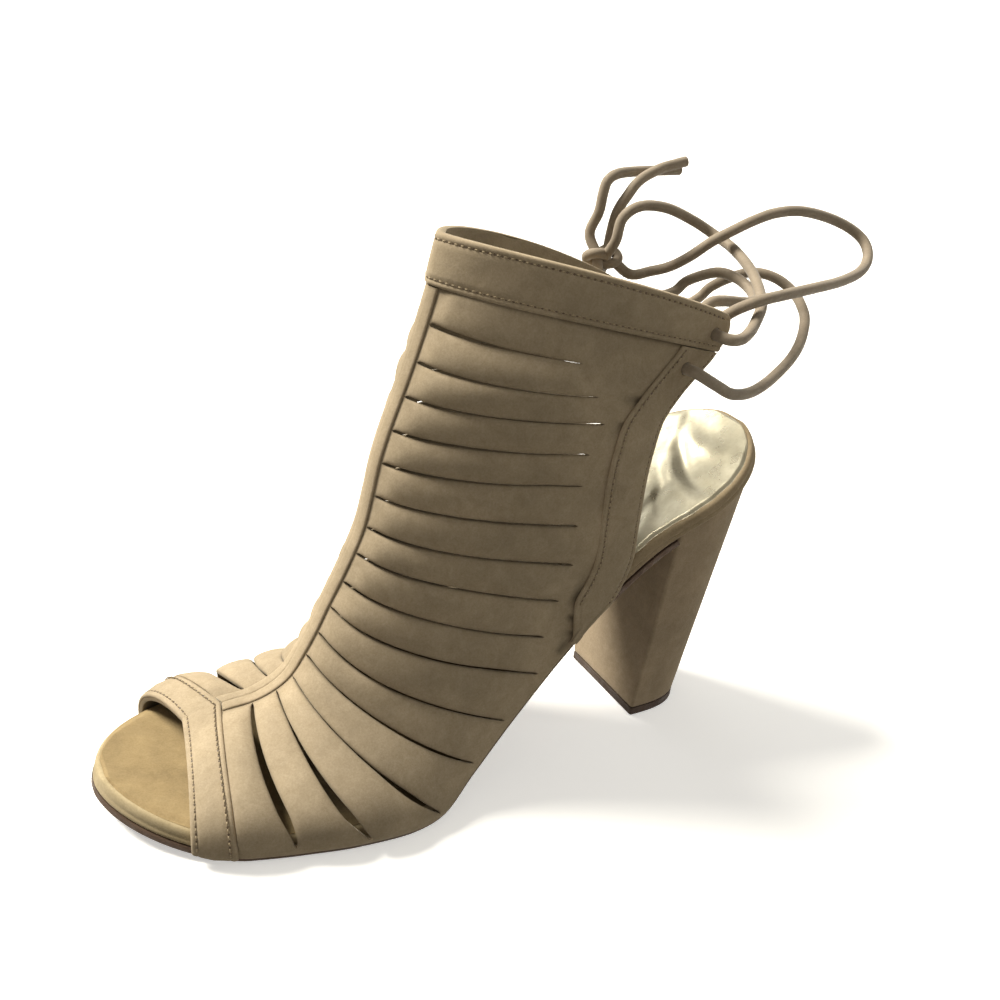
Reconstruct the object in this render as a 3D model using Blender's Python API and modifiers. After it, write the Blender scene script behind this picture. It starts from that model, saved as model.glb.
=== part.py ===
"""Lace up heeled sandal, a left shoe with an open toe, a cut out upper and a block heel.

The toe points along -X, the heel along +X and the outer side of the foot is -Y.
The origin lies on the floor under the ball of the foot.
"""
import math

import bmesh
import bpy
import numpy as np
from mathutils import Vector

MM = 0.001

# Last and sole
RUN = 222.5 * MM            # toe tip to the back of the seat, level
TOE_REACH = 80.3 * MM       # origin to the toe tip
BALL_WIDTH = 80 * MM        # insole board across the ball
TREAD_FRONT = 30 * MM       # flat tread ahead of the origin
TREAD_BACK = 8 * MM         # flat tread behind the origin
TOE_SPRING = 5.5 * MM       # lift of the sole at the toe tip
TOE_SKEW = 5 * MM           # toe tip toward the inner side
SEAT_LENGTH = 42.2 * MM     # heel breast to the back of the seat, level
HEEL_HEIGHT = 73.9 * MM     # floor to the underside at the breast
SEAT_ANGLE = math.radians(29.5)
SHANK_ARCH = 3.5 * MM       # bow of the shank above a plain ramp

# Sole layers, square to the underside
OUTSOLE = 2.0 * MM
BOARD_TOP = 7.5 * MM        # underside of the outsole to the rim of the board
SEAT_DISH = 1.6 * MM        # hollow across the board's top
SOCK = 0.7 * MM
SOCK_MARGIN = 3.0 * MM      # bare rim around the sock
END_CUT = 0.1 * MM          # small flat at the toe tip and the back of the seat
SOLE_STEPS = 36
TOE_POINT = 1.45            # exponents of the round toe's outline, lengthways and across
TOE_FULLNESS = 1.85
SOCK_JOINT = 62 * MM        # x where the toe lining meets the heel sock
RIM_ROUND = 1.0 * MM        # rounding of the board's wrapped edge
OUTSOLE_LIP = 0.6 * MM      # outsole beyond the board

# Heel
LIFT = 3.0 * MM             # top lift under the heel
HEEL_TOP_INSET = 1.0 * MM   # heel block inside the board's edge
HEEL_FOOT_WIDTH = 39.2 * MM
HEEL_FOOT_LENGTH = 27 * MM
BREAST_SET = 1.2 * MM       # foot of the breast ahead of its top
HEEL_FOOT_POINT = 3.2       # exponents of the foot's D outline, lengthways and across
HEEL_FOOT_FULLNESS = 2.2
HEEL_TURNS = 9              # steps round each side of the heel

# Upper
SHAFT_HEIGHT = 170.5 * MM   # floor to the top of the collar in front
SHAFT_WIDTH = 62 * MM
SHAFT_LEAN = 7 * MM         # inner side of the collar below the outer side
INNER_NARROW = 0.9          # inner half of the empty shaft against the outer half
WALL = 1.3 * MM
OVERLAY = 1.0 * MM          # bands, collar and strip stitched on the wall
GAP = 0.3 * MM
BOARD_GAP = 0.6 * MM        # upper's lining to the edge of the board
STRIP_WIDTH = 7.5 * MM
BAND_WIDTH = 15.5 * MM      # bands down the rear opening
SLIT_GAP = 0.9 * MM
SLIT_TIP = 0.3 * MM
SLIT_COLUMNS = 8
FACET = 11 * MM             # longest step between rows of the upper

# Insole board: share of RUN from the toe tip, outer and inner edge as shares of half BALL_WIDTH
OUTLINE = [
    {"along": 0.159, "outer": 0.890, "inner": 0.935},
    {"along": 0.227, "outer": 0.975, "inner": 0.985},
    {"along": 0.297, "outer": 1.050, "inner": 0.995},
    {"along": 0.361, "outer": 1.075, "inner": 0.965},
    {"along": 0.420, "outer": 1.020, "inner": 0.890},
    {"along": 0.484, "outer": 0.855, "inner": 0.775},
    {"along": 0.553, "outer": 0.750, "inner": 0.665},
    {"along": 0.632, "outer": 0.695, "inner": 0.605},
    {"along": 0.711, "outer": 0.672, "inner": 0.595},
    {"along": 0.780, "outer": 0.668, "inner": 0.630},
    {"along": 0.868, "outer": 0.7175, "inner": 0.7175},
]

# Upper, from the toe opening to the collar. Lengths along x are shares of RUN from the toe tip,
# heights of SHAFT_HEIGHT, half widths of half SHAFT_WIDTH, crest_y and lead of half BALL_WIDTH.
# A row without end_y and end_z ends at the sole. start and stop shape the curve between crest
# and end. tail is the wall left behind a slit, in BAND_WIDTHs, and gape its width in SLIT_GAPs.
SECTION_COLUMNS = (
    "crest_x", "crest_y", "crest_z", "end_x", "end_y", "end_z",
    "lead", "start_y", "start_z", "stop_x", "stop_y", "stop_z", "tail", "gape",
)
SECTIONS = [
    (0.125, 0.200, 0.120, 0.091, None, None, -0.100, 0.66, -0.05, -0.15, -0.07, 0.65, 0.18, 0),
    (0.177, 0.163, 0.147, 0.142, None, None, -0.200, 0.74, 0.02, -0.15, -0.07, 0.62, 0.18, 0),
    (0.219, 0.138, 0.158, 0.213, None, None, -0.275, 0.71, 0.08, 0.20, -0.08, 0.44, 0.18, 2.7),
    (0.248, 0.113, 0.180, 0.314, None, None, -0.118, 0.70, 0.10, 0.45, -0.13, 0.36, 0.14, 3.8),
    (0.267, 0.087, 0.210, 0.423, None, None, -0.030, 0.62, 0.12, 0.38, -0.15, 0.42, 0.14, 2.5),
    (0.283, 0.062, 0.257, 0.496, None, None, 0.025, 0.63, 0.18, 0.42, -0.12, 0.36, 0.18, 1),
    (0.298, 0.037, 0.305, 0.550, None, None, 0.013, 0.68, 0.26, 0.43, -0.05, 0.33, 0.18, 1),
    (0.313, 0.025, 0.355, 0.608, None, None, 0.017, 0.73, 0.27, 0.42, -0.04, 0.34, 0.25, 1),
    (0.328, 0.013, 0.402, 0.654, None, None, 0.035, 0.72, 0.18, 0.43, -0.05, 0.34, 0.85, 1),
    (0.344, 0.000, 0.455, 0.703, None, None, 0.030, 0.77, 0.13, 0.42, -0.10, 0.43, 1.35, 1),
    (0.356, 0.000, 0.502, 0.720, 0.935, 0.423, 0.055, 0.76, 0.09, 0.42, -0.15, 0.42, 1.50, 1),
    (0.364, 0.000, 0.559, 0.717, 0.968, 0.510, 0.080, 0.72, 0.06, 0.36, -0.18, 0.43, 1.50, 1),
    (0.372, 0.000, 0.619, 0.715, 0.984, 0.596, 0.075, 0.70, 0.05, 0.31, -0.18, 0.44, 1.50, 1),
    (0.384, 0.000, 0.677, 0.717, 1.000, 0.656, 0.077, 0.70, 0.05, 0.32, -0.18, 0.45, 1.50, 1),
    (0.399, 0.000, 0.736, 0.725, 1.000, 0.711, 0.080, 0.74, 0.06, 0.37, -0.18, 0.45, 1.40, 1),
    (0.413, 0.000, 0.795, 0.747, 0.984, 0.752, 0.095, 0.79, 0.08, 0.50, -0.20, 0.43, 1.90, 1),
    (0.426, 0.000, 0.859, 0.777, 0.935, 0.785, 0.105, 0.80, 0.10, 0.44, -0.22, 0.43, 2.70, 1),
    (0.436, 0.000, 0.917, 0.806, 0.903, 0.822, 0.135, 0.78, 0.00, 0.40, -0.25, 0.58, 2.70, 0),
    (0.448, 0.000, 1.000, 0.827, 0.887, 0.883, 0.150, 0.78, -0.02, 0.35, -0.25, 0.62, 2.70, 0),
]
TOE_BAND_ROW = 1            # rear edge of the toe band
COLLAR_ROW = 17             # lower edge of the collar band
BAND_START = 7.6            # where the rear bands grow out of the sole's edge
BAND_FULL = 9.2             # where they reach their full width
TAB_ROUND = 5 * MM          # rounded corner at the top of the rear opening
TAB_START = 17.5
TAB_BEND = 17.85            # row halfway round that corner
BAND_TIP = 7.9              # front end of the rear bands
EDGE_SHARE = 0.6            # plain edge ahead of them, as a share of the wall behind a slit
EDGE_LIMIT = 0.3            # the most of that wall that counts, in BAND_WIDTHs
BAND_SHARE = 0.85           # the most of the wall behind a slit that a band takes
ROW_CLEAR = 0.1             # least step from an overlay's edge to the next row
SLOPE_STEP = 0.02           # step along the sections or across them for a slope

# Eyelets in the tabs: place along the sections and distance from the rear edge
EYELET = 4.0 * MM
EYELETS = {"upper": (17.45, 6.2 * MM), "lower": (16.25, 8.2 * MM)}

# Lace, one cord that is knotted above the inner tab. Routes in millimetres, chosen by hand.
LACE = 3.5 * MM
LACE_STEP = 3 * LACE        # between the points of a cord
LEAD_IN = 4.5 * MM          # straight start of a cord at an eyelet or the knot
KNOT_CENTRE = (96.0, 32.3, 151.8)
KNOT_RADII = (7.5, 5.0, 4.8)
LOOP_A = [
    (98, -19, 149), (103, -17, 151.5), (109, -16, 151.5), (123.5, -12, 149), (130, -6, 149),
    (132.5, 0, 150), (132, 6, 151.5), (129.5, 13, 151.5), (122.5, 18.5, 147.5), (118, 19.5, 143.5),
    (107, 18.5, 142),
]
LOOP_B = [
    (96, -19, 140), (102, -19.5, 144), (105.5, -24, 150.5), (113, -26.5, 154.3), (124.5, -25.5, 155.5),
    (139, -22.5, 156), (155, -17.5, 156), (169.5, -11.5, 157), (177.5, -6, 160), (179.5, -1, 164),
    (176, 3, 167.5), (167.5, 6, 170.7), (156, 7.5, 172.7), (146, 8.5, 172), (137.5, 9, 169.5),
    (130.5, 10, 166.2), (124.5, 12.5, 162), (120, 17, 156), (116.5, 22, 151.5), (112, 26, 149),
]
LOOP_C = [
    (98, 19, 134), (110, 20, 135), (122, 22, 136), (132, 23, 139.5), (135, 21.5, 143.5), (139.5, 19, 147),
    (145, 15.5, 150), (149.5, 12, 150.5), (154, 8.5, 149), (157, 4, 146), (156.5, -1.5, 143),
    (154.5, -6.5, 139.5), (148, -13, 135), (139.5, -19, 132), (129, -25, 130), (119, -30, 128.5),
    (110, -33.5, 128), (101, -36, 129.5), (94, -36.5, 133),
]
LOOP_D = [
    (101, -35, 146), (107, -32, 147), (113, -27.5, 149), (118.5, -22.5, 151), (123.5, -15.5, 153),
    (129, -4, 156.5), (132, 9.5, 160), (131, 19.5, 162.5), (124, 23.5, 166.5), (114, 25.5, 170.2),
    (104.5, 27, 170.5), (98.5, 27.5, 166.5),
]
END_1 = [
    (95.5, 37, 166.5), (96.5, 37.5, 172.5), (98, 38, 176.5), (102.5, 39, 178.5), (111.5, 40.5, 179),
    (122, 42, 179), (130.5, 43, 179),
]
END_2 = [
    (101, 34.5, 167), (104, 34.5, 172), (109, 35.5, 177), (117, 36.5, 180.5), (123.5, 37, 182),
    (128, 37, 183),
]

OUTER = -1
INNER = 1


def fair_curve(xs, ys, x):
    """Cubic through the points that never overshoots them."""
    xs = np.asarray(xs, float)
    ys = np.asarray(ys, float)
    step = np.diff(xs)
    rise = np.diff(ys) / step
    tangent = np.zeros(len(xs))
    tangent[0] = rise[0]
    tangent[-1] = rise[-1]
    for i in range(1, len(xs) - 1):
        if rise[i - 1] * rise[i] > 0:
            after = 2 * step[i] + step[i - 1]
            before = step[i] + 2 * step[i - 1]
            tangent[i] = (after + before) / (after / rise[i - 1] + before / rise[i])
    k = int(np.clip(np.searchsorted(xs, x) - 1, 0, len(xs) - 2))
    t = (x - xs[k]) / step[k]
    start = ys[k] * (1 + 2 * t) * (1 - t) ** 2 + tangent[k] * step[k] * t * (1 - t) ** 2
    stop = ys[k + 1] * t * t * (3 - 2 * t) - tangent[k + 1] * step[k] * t * t * (1 - t)
    return float(start + stop)


def underside(x):
    """Height and slope of the sole's underside: toe spring, tread, shank and seat."""
    toe = -TOE_REACH
    breast = toe + RUN - SEAT_LENGTH
    seat_slope = math.tan(SEAT_ANGLE)
    if x < -TREAD_FRONT:
        share = (-TREAD_FRONT - x) / (TOE_REACH - TREAD_FRONT)
        return TOE_SPRING * share ** 2, -2 * TOE_SPRING * share / (TOE_REACH - TREAD_FRONT)
    if x < TREAD_BACK:
        return 0.0, 0.0
    if x > breast:
        return HEEL_HEIGHT + (x - breast) * seat_slope, seat_slope
    length = breast - TREAD_BACK
    u = (x - TREAD_BACK) / length
    z = HEEL_HEIGHT * (3 - 2 * u) * u * u + seat_slope * length * (u - 1) * u * u
    z += SHANK_ARCH * 16 * (u * (1 - u)) ** 2
    slope = HEEL_HEIGHT * 6 * u * (1 - u) / length + seat_slope * (3 * u * u - 2 * u)
    slope += SHANK_ARCH * 32 * u * (1 - u) * (1 - 2 * u) / length
    return z, slope


def on_sole(x, y, height):
    """Point at a height square to the underside."""
    z, slope = underside(x)
    length = math.hypot(1, slope)
    return np.array([x - height * slope / length, y, z + height / length])


def board_edges(x):
    """Outer and inner y of the insole board at x: round toe, waist and round seat."""
    toe = -TOE_REACH
    back = toe + RUN
    xs = [toe + row["along"] * RUN for row in OUTLINE]
    outer = [row["outer"] * BALL_WIDTH / 2 for row in OUTLINE]
    inner = [row["inner"] * BALL_WIDTH / 2 for row in OUTLINE]
    if x <= xs[0]:
        u = min((xs[0] - x) / (xs[0] - toe), 1.0)
        width = (outer[0] + inner[0]) / 2 * (1 - u ** TOE_POINT) ** (1 / TOE_FULLNESS)
        centre = (inner[0] - outer[0]) / 2 * (1 - u) + TOE_SKEW * u
        return centre - width, centre + width
    if x >= xs[-1]:
        u = min((x - xs[-1]) / (back - xs[-1]), 1.0)
        width = math.sqrt(1 - u * u)
        return -outer[-1] * width, inner[-1] * width
    return -fair_curve(xs, outer, x), fair_curve(xs, inner, x)


def faired(values, t):
    """Value at t of a smooth curve through values that stand at 0, 1, 2 and so on."""
    last = len(values) - 1
    i = min(max(int(math.floor(t)), 0), last - 1)
    f = t - i
    b, c = values[i], values[i + 1]
    a = values[i - 1] if i > 0 else 2 * b - c
    d = values[i + 2] if i < last - 1 else 2 * c - b
    blend = 2 * b + (c - a) * f + (2 * a - 5 * b + 4 * c - d) * f * f
    return 0.5 * (blend + (3 * b - a - 3 * c + d) * f ** 3)


def sole_end(share, side):
    """Lower end of a section on the sole, at a share of RUN from the toe tip."""
    x = -TOE_REACH + share * RUN
    edge = board_edges(x)[0 if side == OUTER else 1]
    return on_sole(x, edge + side * (BOARD_GAP + WALL), OUTSOLE + GAP)


def section(row, side):
    """Four points of a section's curve, from the crest to its end on one side."""
    crest = np.array([
        row["crest_x"] * RUN - TOE_REACH,
        row["crest_y"] * BALL_WIDTH / 2,
        row["crest_z"] * SHAFT_HEIGHT,
    ])
    if row["end_y"] is None:
        end = sole_end(row["end_x"], side)
    else:
        width = row["end_y"] * SHAFT_WIDTH / 2
        height = row["end_z"] * SHAFT_HEIGHT
        if side == INNER:
            width *= INNER_NARROW
            height -= SHAFT_LEAN * row["end_z"]
        end = np.array([row["end_x"] * RUN - TOE_REACH, side * width, height])
    span = end - crest
    lead = row["lead"] * BALL_WIDTH / 2
    start = crest + np.array([lead, span[1] * row["start_y"], span[2] * row["start_z"]])
    stop = end - span * np.array([row["stop_x"], row["stop_y"], row["stop_z"]])
    return np.array([crest, start, stop, end])


NAMED_SECTIONS = [dict(zip(SECTION_COLUMNS, row)) for row in SECTIONS]
LAST_SOLE_ROW = max(i for i, row in enumerate(NAMED_SECTIONS) if row["end_y"] is None)
CURVES = {side: [section(row, side) for row in NAMED_SECTIONS] for side in (OUTER, INNER)}


def section_between(t, side):
    """Section curve at any t. Its end follows the sole's edge as far as the last row there."""
    points = faired(CURVES[side], t)
    if t < LAST_SOLE_ROW:
        end = sole_end(faired([row["end_x"] for row in NAMED_SECTIONS], t), side)
        points[2] += end - points[3]
        points[3] = end
    return points


def column(name, t):
    """A column of the section table at any t, straight between its rows."""
    values = [row[name] for row in NAMED_SECTIONS]
    return float(np.interp(t, range(len(values)), values))


def on_curve(points, u):
    v = 1 - u
    weights = (v ** 3, 3 * v * v * u, 3 * v * u * u, u ** 3)
    return sum(w * p for w, p in zip(weights, points))


class Section:
    """One section of the upper on one side, measured along its curve from the crest."""

    SAMPLES = np.linspace(0, 1, 49)

    def __init__(self, t, side):
        self.t = t
        self.side = side
        self.points = section_between(t, side)
        path = np.array([on_curve(self.points, u) for u in self.SAMPLES])
        steps = np.linalg.norm(np.diff(path, axis=0), axis=1)
        self.lengths = np.concatenate([[0.0], np.cumsum(steps)])
        corner = max(t - TAB_START, 0) / (len(SECTIONS) - 1 - TAB_START)
        self.total = self.lengths[-1] - TAB_ROUND * (1 - math.sqrt(max(1 - corner ** 2, 0)))

    def share(self, distance):
        return float(np.interp(distance, self.lengths, self.SAMPLES))

    def band(self):
        """Width of the rear band here, or of the narrow edge ahead of where it starts."""
        tail = column("tail", self.t) * BAND_WIDTH
        grown = min(max((self.t - BAND_START) / (BAND_FULL - BAND_START), 0), 1)
        width = BAND_WIDTH * grown * grown * (3 - 2 * grown)
        narrow = EDGE_SHARE * min(tail, EDGE_LIMIT * BAND_WIDTH)
        return min(max(width, narrow), BAND_SHARE * tail)

    def distances(self):
        """Distances of the grid columns: crest, strip edge, slit, rear band and end."""
        tail = column("tail", self.t) * BAND_WIDTH
        band = self.band()
        first = STRIP_WIDTH / 2 + GAP
        slit = np.linspace(first, self.total - tail, SLIT_COLUMNS + 1)
        return [0.0, *slit, self.total - band, self.total - band / 2, self.total]


def surface(t, u, side, offset=0.0):
    """Point on the upper's outer surface, or at an offset square to it."""
    here = on_curve(section_between(t, side), u)
    if offset == 0:
        return here
    low = max(t - SLOPE_STEP, 0)
    high = min(t + SLOPE_STEP, len(SECTIONS) - 1)
    along = on_curve(section_between(high, side), u) - on_curve(section_between(low, side), u)
    before = max(u - SLOPE_STEP, 0)
    after = min(u + SLOPE_STEP, 1)
    curve = section_between(t, side)
    across = (on_curve(curve, after) - on_curve(curve, before)) * side
    normal = np.cross(along, across)
    return here + normal / np.linalg.norm(normal) * offset


def slit_width(q, gape):
    """Opening of a slit at share q of its length: pointed ends, widest low down if it gapes."""
    peak = 0.5 if gape <= 1 else 0.78
    share = q / peak if q < peak else (1 - q) / (1 - peak)
    return SLIT_TIP + (gape * SLIT_GAP - SLIT_TIP) * math.sin(math.pi / 2 * share)


def row_points(t, side, shift=0, offset=0.0):
    """Grid points of one row on one side. shift of -1 or 1 takes a slit's lower or upper lip."""
    here = Section(t, side)
    gape = column("gape", t)
    distances = here.distances()
    first = distances[1]
    slit_end = distances[SLIT_COLUMNS + 1]
    points = []
    for distance in distances:
        u = here.share(distance)
        moved = t
        if shift:
            q = min(max((distance - first) / (slit_end - first), 0), 1)
            along = surface(t + SLOPE_STEP, u, side) - surface(t - SLOPE_STEP, u, side)
            per_row = np.linalg.norm(along) / (2 * SLOPE_STEP)
            moved = t + shift * slit_width(q, gape) / 2 / per_row
        points.append(surface(moved, u, side, offset))
    return points


def full_row(t, shift=0, offset=0.0):
    """Row across the upper from the outer end over the crest to the inner end."""
    outer = row_points(t, OUTER, shift, offset)
    inner = row_points(t, INNER, shift, offset)
    return outer[:0:-1] + inner


def between_rows(low, high):
    """Values of t from low to high, no further apart on the surface than FACET."""
    reach = 0
    for side in (OUTER, INNER):
        for u in (0, 0.5, 1):
            reach = max(reach, np.linalg.norm(surface(high, u, side) - surface(low, u, side)))
    count = max(math.ceil(reach / FACET), 1)
    return [low + (high - low) * k / count for k in range(1, count)]


def row_plan():
    """Rows of the upper from the toe opening up: t, shift, and whether a slit starts there."""
    last = len(SECTIONS) - 1
    plan = []
    for i in range(last + 1):
        if column("gape", i) > 0:
            plan += [(i, -1, True), (i, 1, False)]
        else:
            plan.append((i, 0, False))
        if i < last:
            high = i + 1
            tops = between_rows(i, high)
            if i == COLLAR_ROW:
                tops = [TAB_START, TAB_BEND]
            plan += [(t, 0, False) for t in tops]
    return plan


def new_material(name, colour, roughness, metallic=0.0):
    material = bpy.data.materials.new(name)
    material.use_nodes = True
    shader = material.node_tree.nodes["Principled BSDF"]
    shader.inputs["Base Color"].default_value = (*colour, 1)
    shader.inputs["Roughness"].default_value = roughness
    shader.inputs["Metallic"].default_value = metallic
    material.diffuse_color = (*colour, 1)
    return material


def new_object(name, verts, faces, material, smooth=True):
    mesh = bpy.data.meshes.new(name)
    mesh.from_pydata([tuple(v) for v in verts], [], faces)
    mesh.materials.append(material)
    if smooth:
        mesh.shade_smooth()
        mesh.set_sharp_from_angle(angle=math.radians(40))
    obj = bpy.data.objects.new(name, mesh)
    parts.objects.link(obj)
    return obj


def sheet(name, rows, material, thickness, open_cells=()):
    """Shell on a grid of outer points, its wall grown inward. open_cells are left out."""
    across = len(rows[0])
    verts = [point for row in rows for point in row]
    faces = []
    for i in range(len(rows) - 1):
        for j in range(across - 1):
            if (i, j) not in open_cells:
                a = i * across + j
                faces.append((a, a + across, a + across + 1, a + 1))
    obj = new_object(name, verts, faces, material)
    used = bmesh.new()
    used.from_mesh(obj.data)
    loose = [v for v in used.verts if not v.link_faces]
    bmesh.ops.delete(used, geom=loose, context="VERTS")
    used.to_mesh(obj.data)
    used.free()
    wall = obj.modifiers.new("wall", "SOLIDIFY")
    wall.thickness = thickness
    wall.offset = -1
    wall.use_even_offset = True
    return obj


def loft(name, rings, material):
    """Closed body through rings of equal length, its first and last ring capped."""
    count = len(rings[0])
    verts = [point for ring in rings for point in ring]
    faces = [tuple(range(count))[::-1]]
    for i in range(len(rings) - 1):
        for j in range(count):
            k = (j + 1) % count
            a = i * count
            faces.append((a + j, a + k, a + count + k, a + count + j))
    faces.append(tuple(range((len(rings) - 1) * count, len(rings) * count)))
    obj = new_object(name, verts, faces, material)
    solid = bmesh.new()
    solid.from_mesh(obj.data)
    bmesh.ops.recalc_face_normals(solid, faces=solid.faces)
    solid.to_mesh(obj.data)
    solid.free()
    return obj


def sole_stations():
    """Values of x along the board, closer together at the toe tip and the back of the seat."""
    return [-TOE_REACH + END_CUT + (RUN - 2 * END_CUT) * (1 - math.cos(math.pi * k / SOLE_STEPS)) / 2
            for k in range(SOLE_STEPS + 1)]


def board_top(x, share):
    """Height of the board's top at a share of its half width, hollowed toward the seat."""
    breast = RUN - TOE_REACH - SEAT_LENGTH
    hollow = float(np.interp(x, (TREAD_BACK, breast), (0.4, 1.0))) * SEAT_DISH
    return BOARD_TOP - hollow * (1 - share ** 2)


def board_columns(x):
    """Centre, half width and the shares of it where the board's top has its grid lines."""
    outer, inner = board_edges(x)
    half = (inner - outer) / 2
    rim = 1 - min(RIM_ROUND / half, 0.3)
    sock = 1 - min(SOCK_MARGIN / half, 0.5)
    shares = [-rim, -sock, -0.66 * sock, -0.33 * sock, 0, 0.33 * sock, 0.66 * sock, sock, rim]
    return (outer + inner) / 2, half, shares


def make_board():
    rings = []
    for x in sole_stations():
        centre, half, shares = board_columns(x)
        low = OUTSOLE + GAP
        under = half - min(RIM_ROUND, 0.3 * half)
        ring = [on_sole(x, centre + under * k / 2, low) for k in (-2, -1, 0, 1, 2)]
        ring.append(on_sole(x, centre + half, low + RIM_ROUND))
        ring.append(on_sole(x, centre + half, BOARD_TOP - RIM_ROUND))
        ring += [on_sole(x, centre + half * r, board_top(x, r)) for r in reversed(shares)]
        ring.append(on_sole(x, centre - half, BOARD_TOP - RIM_ROUND))
        ring.append(on_sole(x, centre - half, low + RIM_ROUND))
        rings.append(ring)
    return loft("insole_board", rings, board_suede)


def make_sock(name, front, back, material):
    inside = [x for x in sole_stations() if front + GAP < x < back - GAP]
    rows = []
    for x in [front, *inside, back]:
        centre, half, shares = board_columns(x)
        row = [on_sole(x, centre + half * r, board_top(x, r) + GAP + SOCK) for r in shares[1:-1]]
        rows.append(row)
    return sheet(name, rows, material, SOCK)


def make_outsole():
    breast = RUN - TOE_REACH - SEAT_LENGTH
    rings = []
    for x in [x for x in sole_stations() if x < breast - GAP] + [breast]:
        outer, inner = board_edges(x)
        centre = (outer + inner) / 2
        half = (inner - outer) / 2 + OUTSOLE_LIP
        bevel = OUTSOLE / 4
        ring = [on_sole(x, centre + (half - bevel) * k / 2, 0) for k in (-2, -1, 0, 1, 2)]
        ring += [on_sole(x, centre + half, bevel)]
        ring += [on_sole(x, centre + half * k / 2, OUTSOLE) for k in (2, 1, 0, -1, -2)]
        ring += [on_sole(x, centre - half, bevel)]
        rings.append(ring)
    return loft("outsole", rings, outsole_rubber)


def heel_ring(share, bottom, top):
    """Level of the heel between its foot outline at bottom and the board above it at top."""
    breast = RUN - TOE_REACH - SEAT_LENGTH + GAP
    shift = OUTSOLE * math.sin(SEAT_ANGLE)
    length = SEAT_LENGTH - HEEL_TOP_INSET - shift
    ring = []
    turns = [math.sin(math.pi / 2 * k / HEEL_TURNS) for k in range(HEEL_TURNS + 1)]
    for side, steps in ((0, turns), (1, turns[-2::-1])):
        for v in steps:
            x = breast + shift + length * v
            edge = board_edges(x + HEEL_TOP_INSET * v)[side]
            inset = HEEL_TOP_INSET if side == 0 else -HEEL_TOP_INSET
            y = edge + inset if abs(edge) > HEEL_TOP_INSET else 0.0
            high = on_sole(x, y, top)
            width = HEEL_FOOT_WIDTH / 2 * (1 - v ** HEEL_FOOT_POINT) ** (1 / HEEL_FOOT_FULLNESS)
            foot_x = breast - BREAST_SET + HEEL_FOOT_LENGTH * v
            low = np.array([foot_x, width * (2 * side - 1), bottom])
            ring.append(low + (high - low) * share)
    return ring


def make_heel():
    rings = [heel_ring(share, LIFT + GAP, OUTSOLE) for share in (0, 0.25, 0.5, 0.75, 1)]
    loft("heel_block", rings, heel_cover)
    foot = heel_ring(0, 0.0, OUTSOLE)
    top = heel_ring(0, LIFT, OUTSOLE)
    loft("heel_top_lift", [foot, top], lift_rubber)


def make_upper():
    plan = row_plan()
    plan[0] = (GAP / FACET, 0, False)
    rows = [full_row(t, shift) for t, shift, _ in plan]
    middle = len(rows[0]) // 2
    open_cells = set()
    for i, (_, _, slit) in enumerate(plan):
        if slit:
            for j in range(1, SLIT_COLUMNS + 1):
                open_cells.add((i, middle + j))
                open_cells.add((i, middle - 1 - j))
    sheet("upper", rows, upper_suede, WALL, open_cells)
    return plan


def overlay_rows(plan, low, high):
    """Values of t for an overlay: its two edges and the upper's rows between them."""
    inside = sorted({t for t, _, _ in plan if low + ROW_CLEAR < t < high - ROW_CLEAR})
    return [low, *inside, high]


def make_overlays(plan):
    height = GAP + OVERLAY
    joint = 2 * GAP / FACET
    toe = overlay_rows(plan, 0, TOE_BAND_ROW)
    sheet("toe_band", [full_row(t, 0, height) for t in toe], upper_suede, OVERLAY)
    last = len(SECTIONS) - 1
    collar = overlay_rows(plan, COLLAR_ROW, last)
    sheet("collar_band", [full_row(t, 0, height) for t in collar], upper_suede, OVERLAY)
    strip = []
    for t in overlay_rows(plan, TOE_BAND_ROW + joint, COLLAR_ROW - joint):
        row = []
        for side, reach in ((OUTER, STRIP_WIDTH / 2), (OUTER, 0), (INNER, STRIP_WIDTH / 2)):
            row.append(surface(t, Section(t, side).share(reach), side, height))
        strip.append(row)
    sheet("centre_strip", strip, upper_suede, OVERLAY)
    for name, side in (("back_band_outer", OUTER), ("back_band_inner", INNER)):
        rows = []
        for t in overlay_rows(plan, BAND_TIP, COLLAR_ROW - joint):
            row = row_points(t, side, 0, height)[-3:]
            rows.append(row if side == INNER else row[::-1])
        sheet(name, rows, upper_suede, OVERLAY)


def eyelet(name, side):
    """Section value and curve share of an eyelet's centre."""
    t, inset = EYELETS[name]
    here = Section(t, side)
    return t, here.share(here.total - inset)


def punch_eyelets():
    """Round holes for the lace through the wall and the overlay on each side."""
    for name in EYELETS:
        for side, label in ((OUTER, "outer"), (INNER, "inner")):
            t, u = eyelet(name, side)
            inside = Vector(surface(t, u, side, -6 * WALL))
            outside = Vector(surface(t, u, side, 6 * WALL))
            axis = outside - inside
            bpy.ops.mesh.primitive_cylinder_add(
                vertices=12, radius=EYELET / 2, depth=axis.length, location=(inside + outside) / 2,
                rotation=axis.to_track_quat("Z", "Y").to_euler(),
            )
            cutter = bpy.context.active_object
            cutter.name = f"eyelet_cutter_{name}_{label}"
            for owner in list(cutter.users_collection):
                owner.objects.unlink(cutter)
            cutters.objects.link(cutter)
            cutter.hide_render = True
            cutter.display_type = "WIRE"
            band = "collar_band" if t > COLLAR_ROW else f"back_band_{label}"
            for target in ("upper", band):
                cut = bpy.data.objects[target].modifiers.new(cutter.name, "BOOLEAN")
                cut.operation = "DIFFERENCE"
                cut.object = cutter


def at_eyelet(name, side, face):
    """Start of a cord just off an eyelet, outside for a face of 1 and inside for -1."""
    t, u = eyelet(name, side)
    skin = GAP + OVERLAY if face > 0 else -WALL
    return [surface(t, u, side, skin + face * reach) for reach in (GAP, LEAD_IN)]


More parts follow.
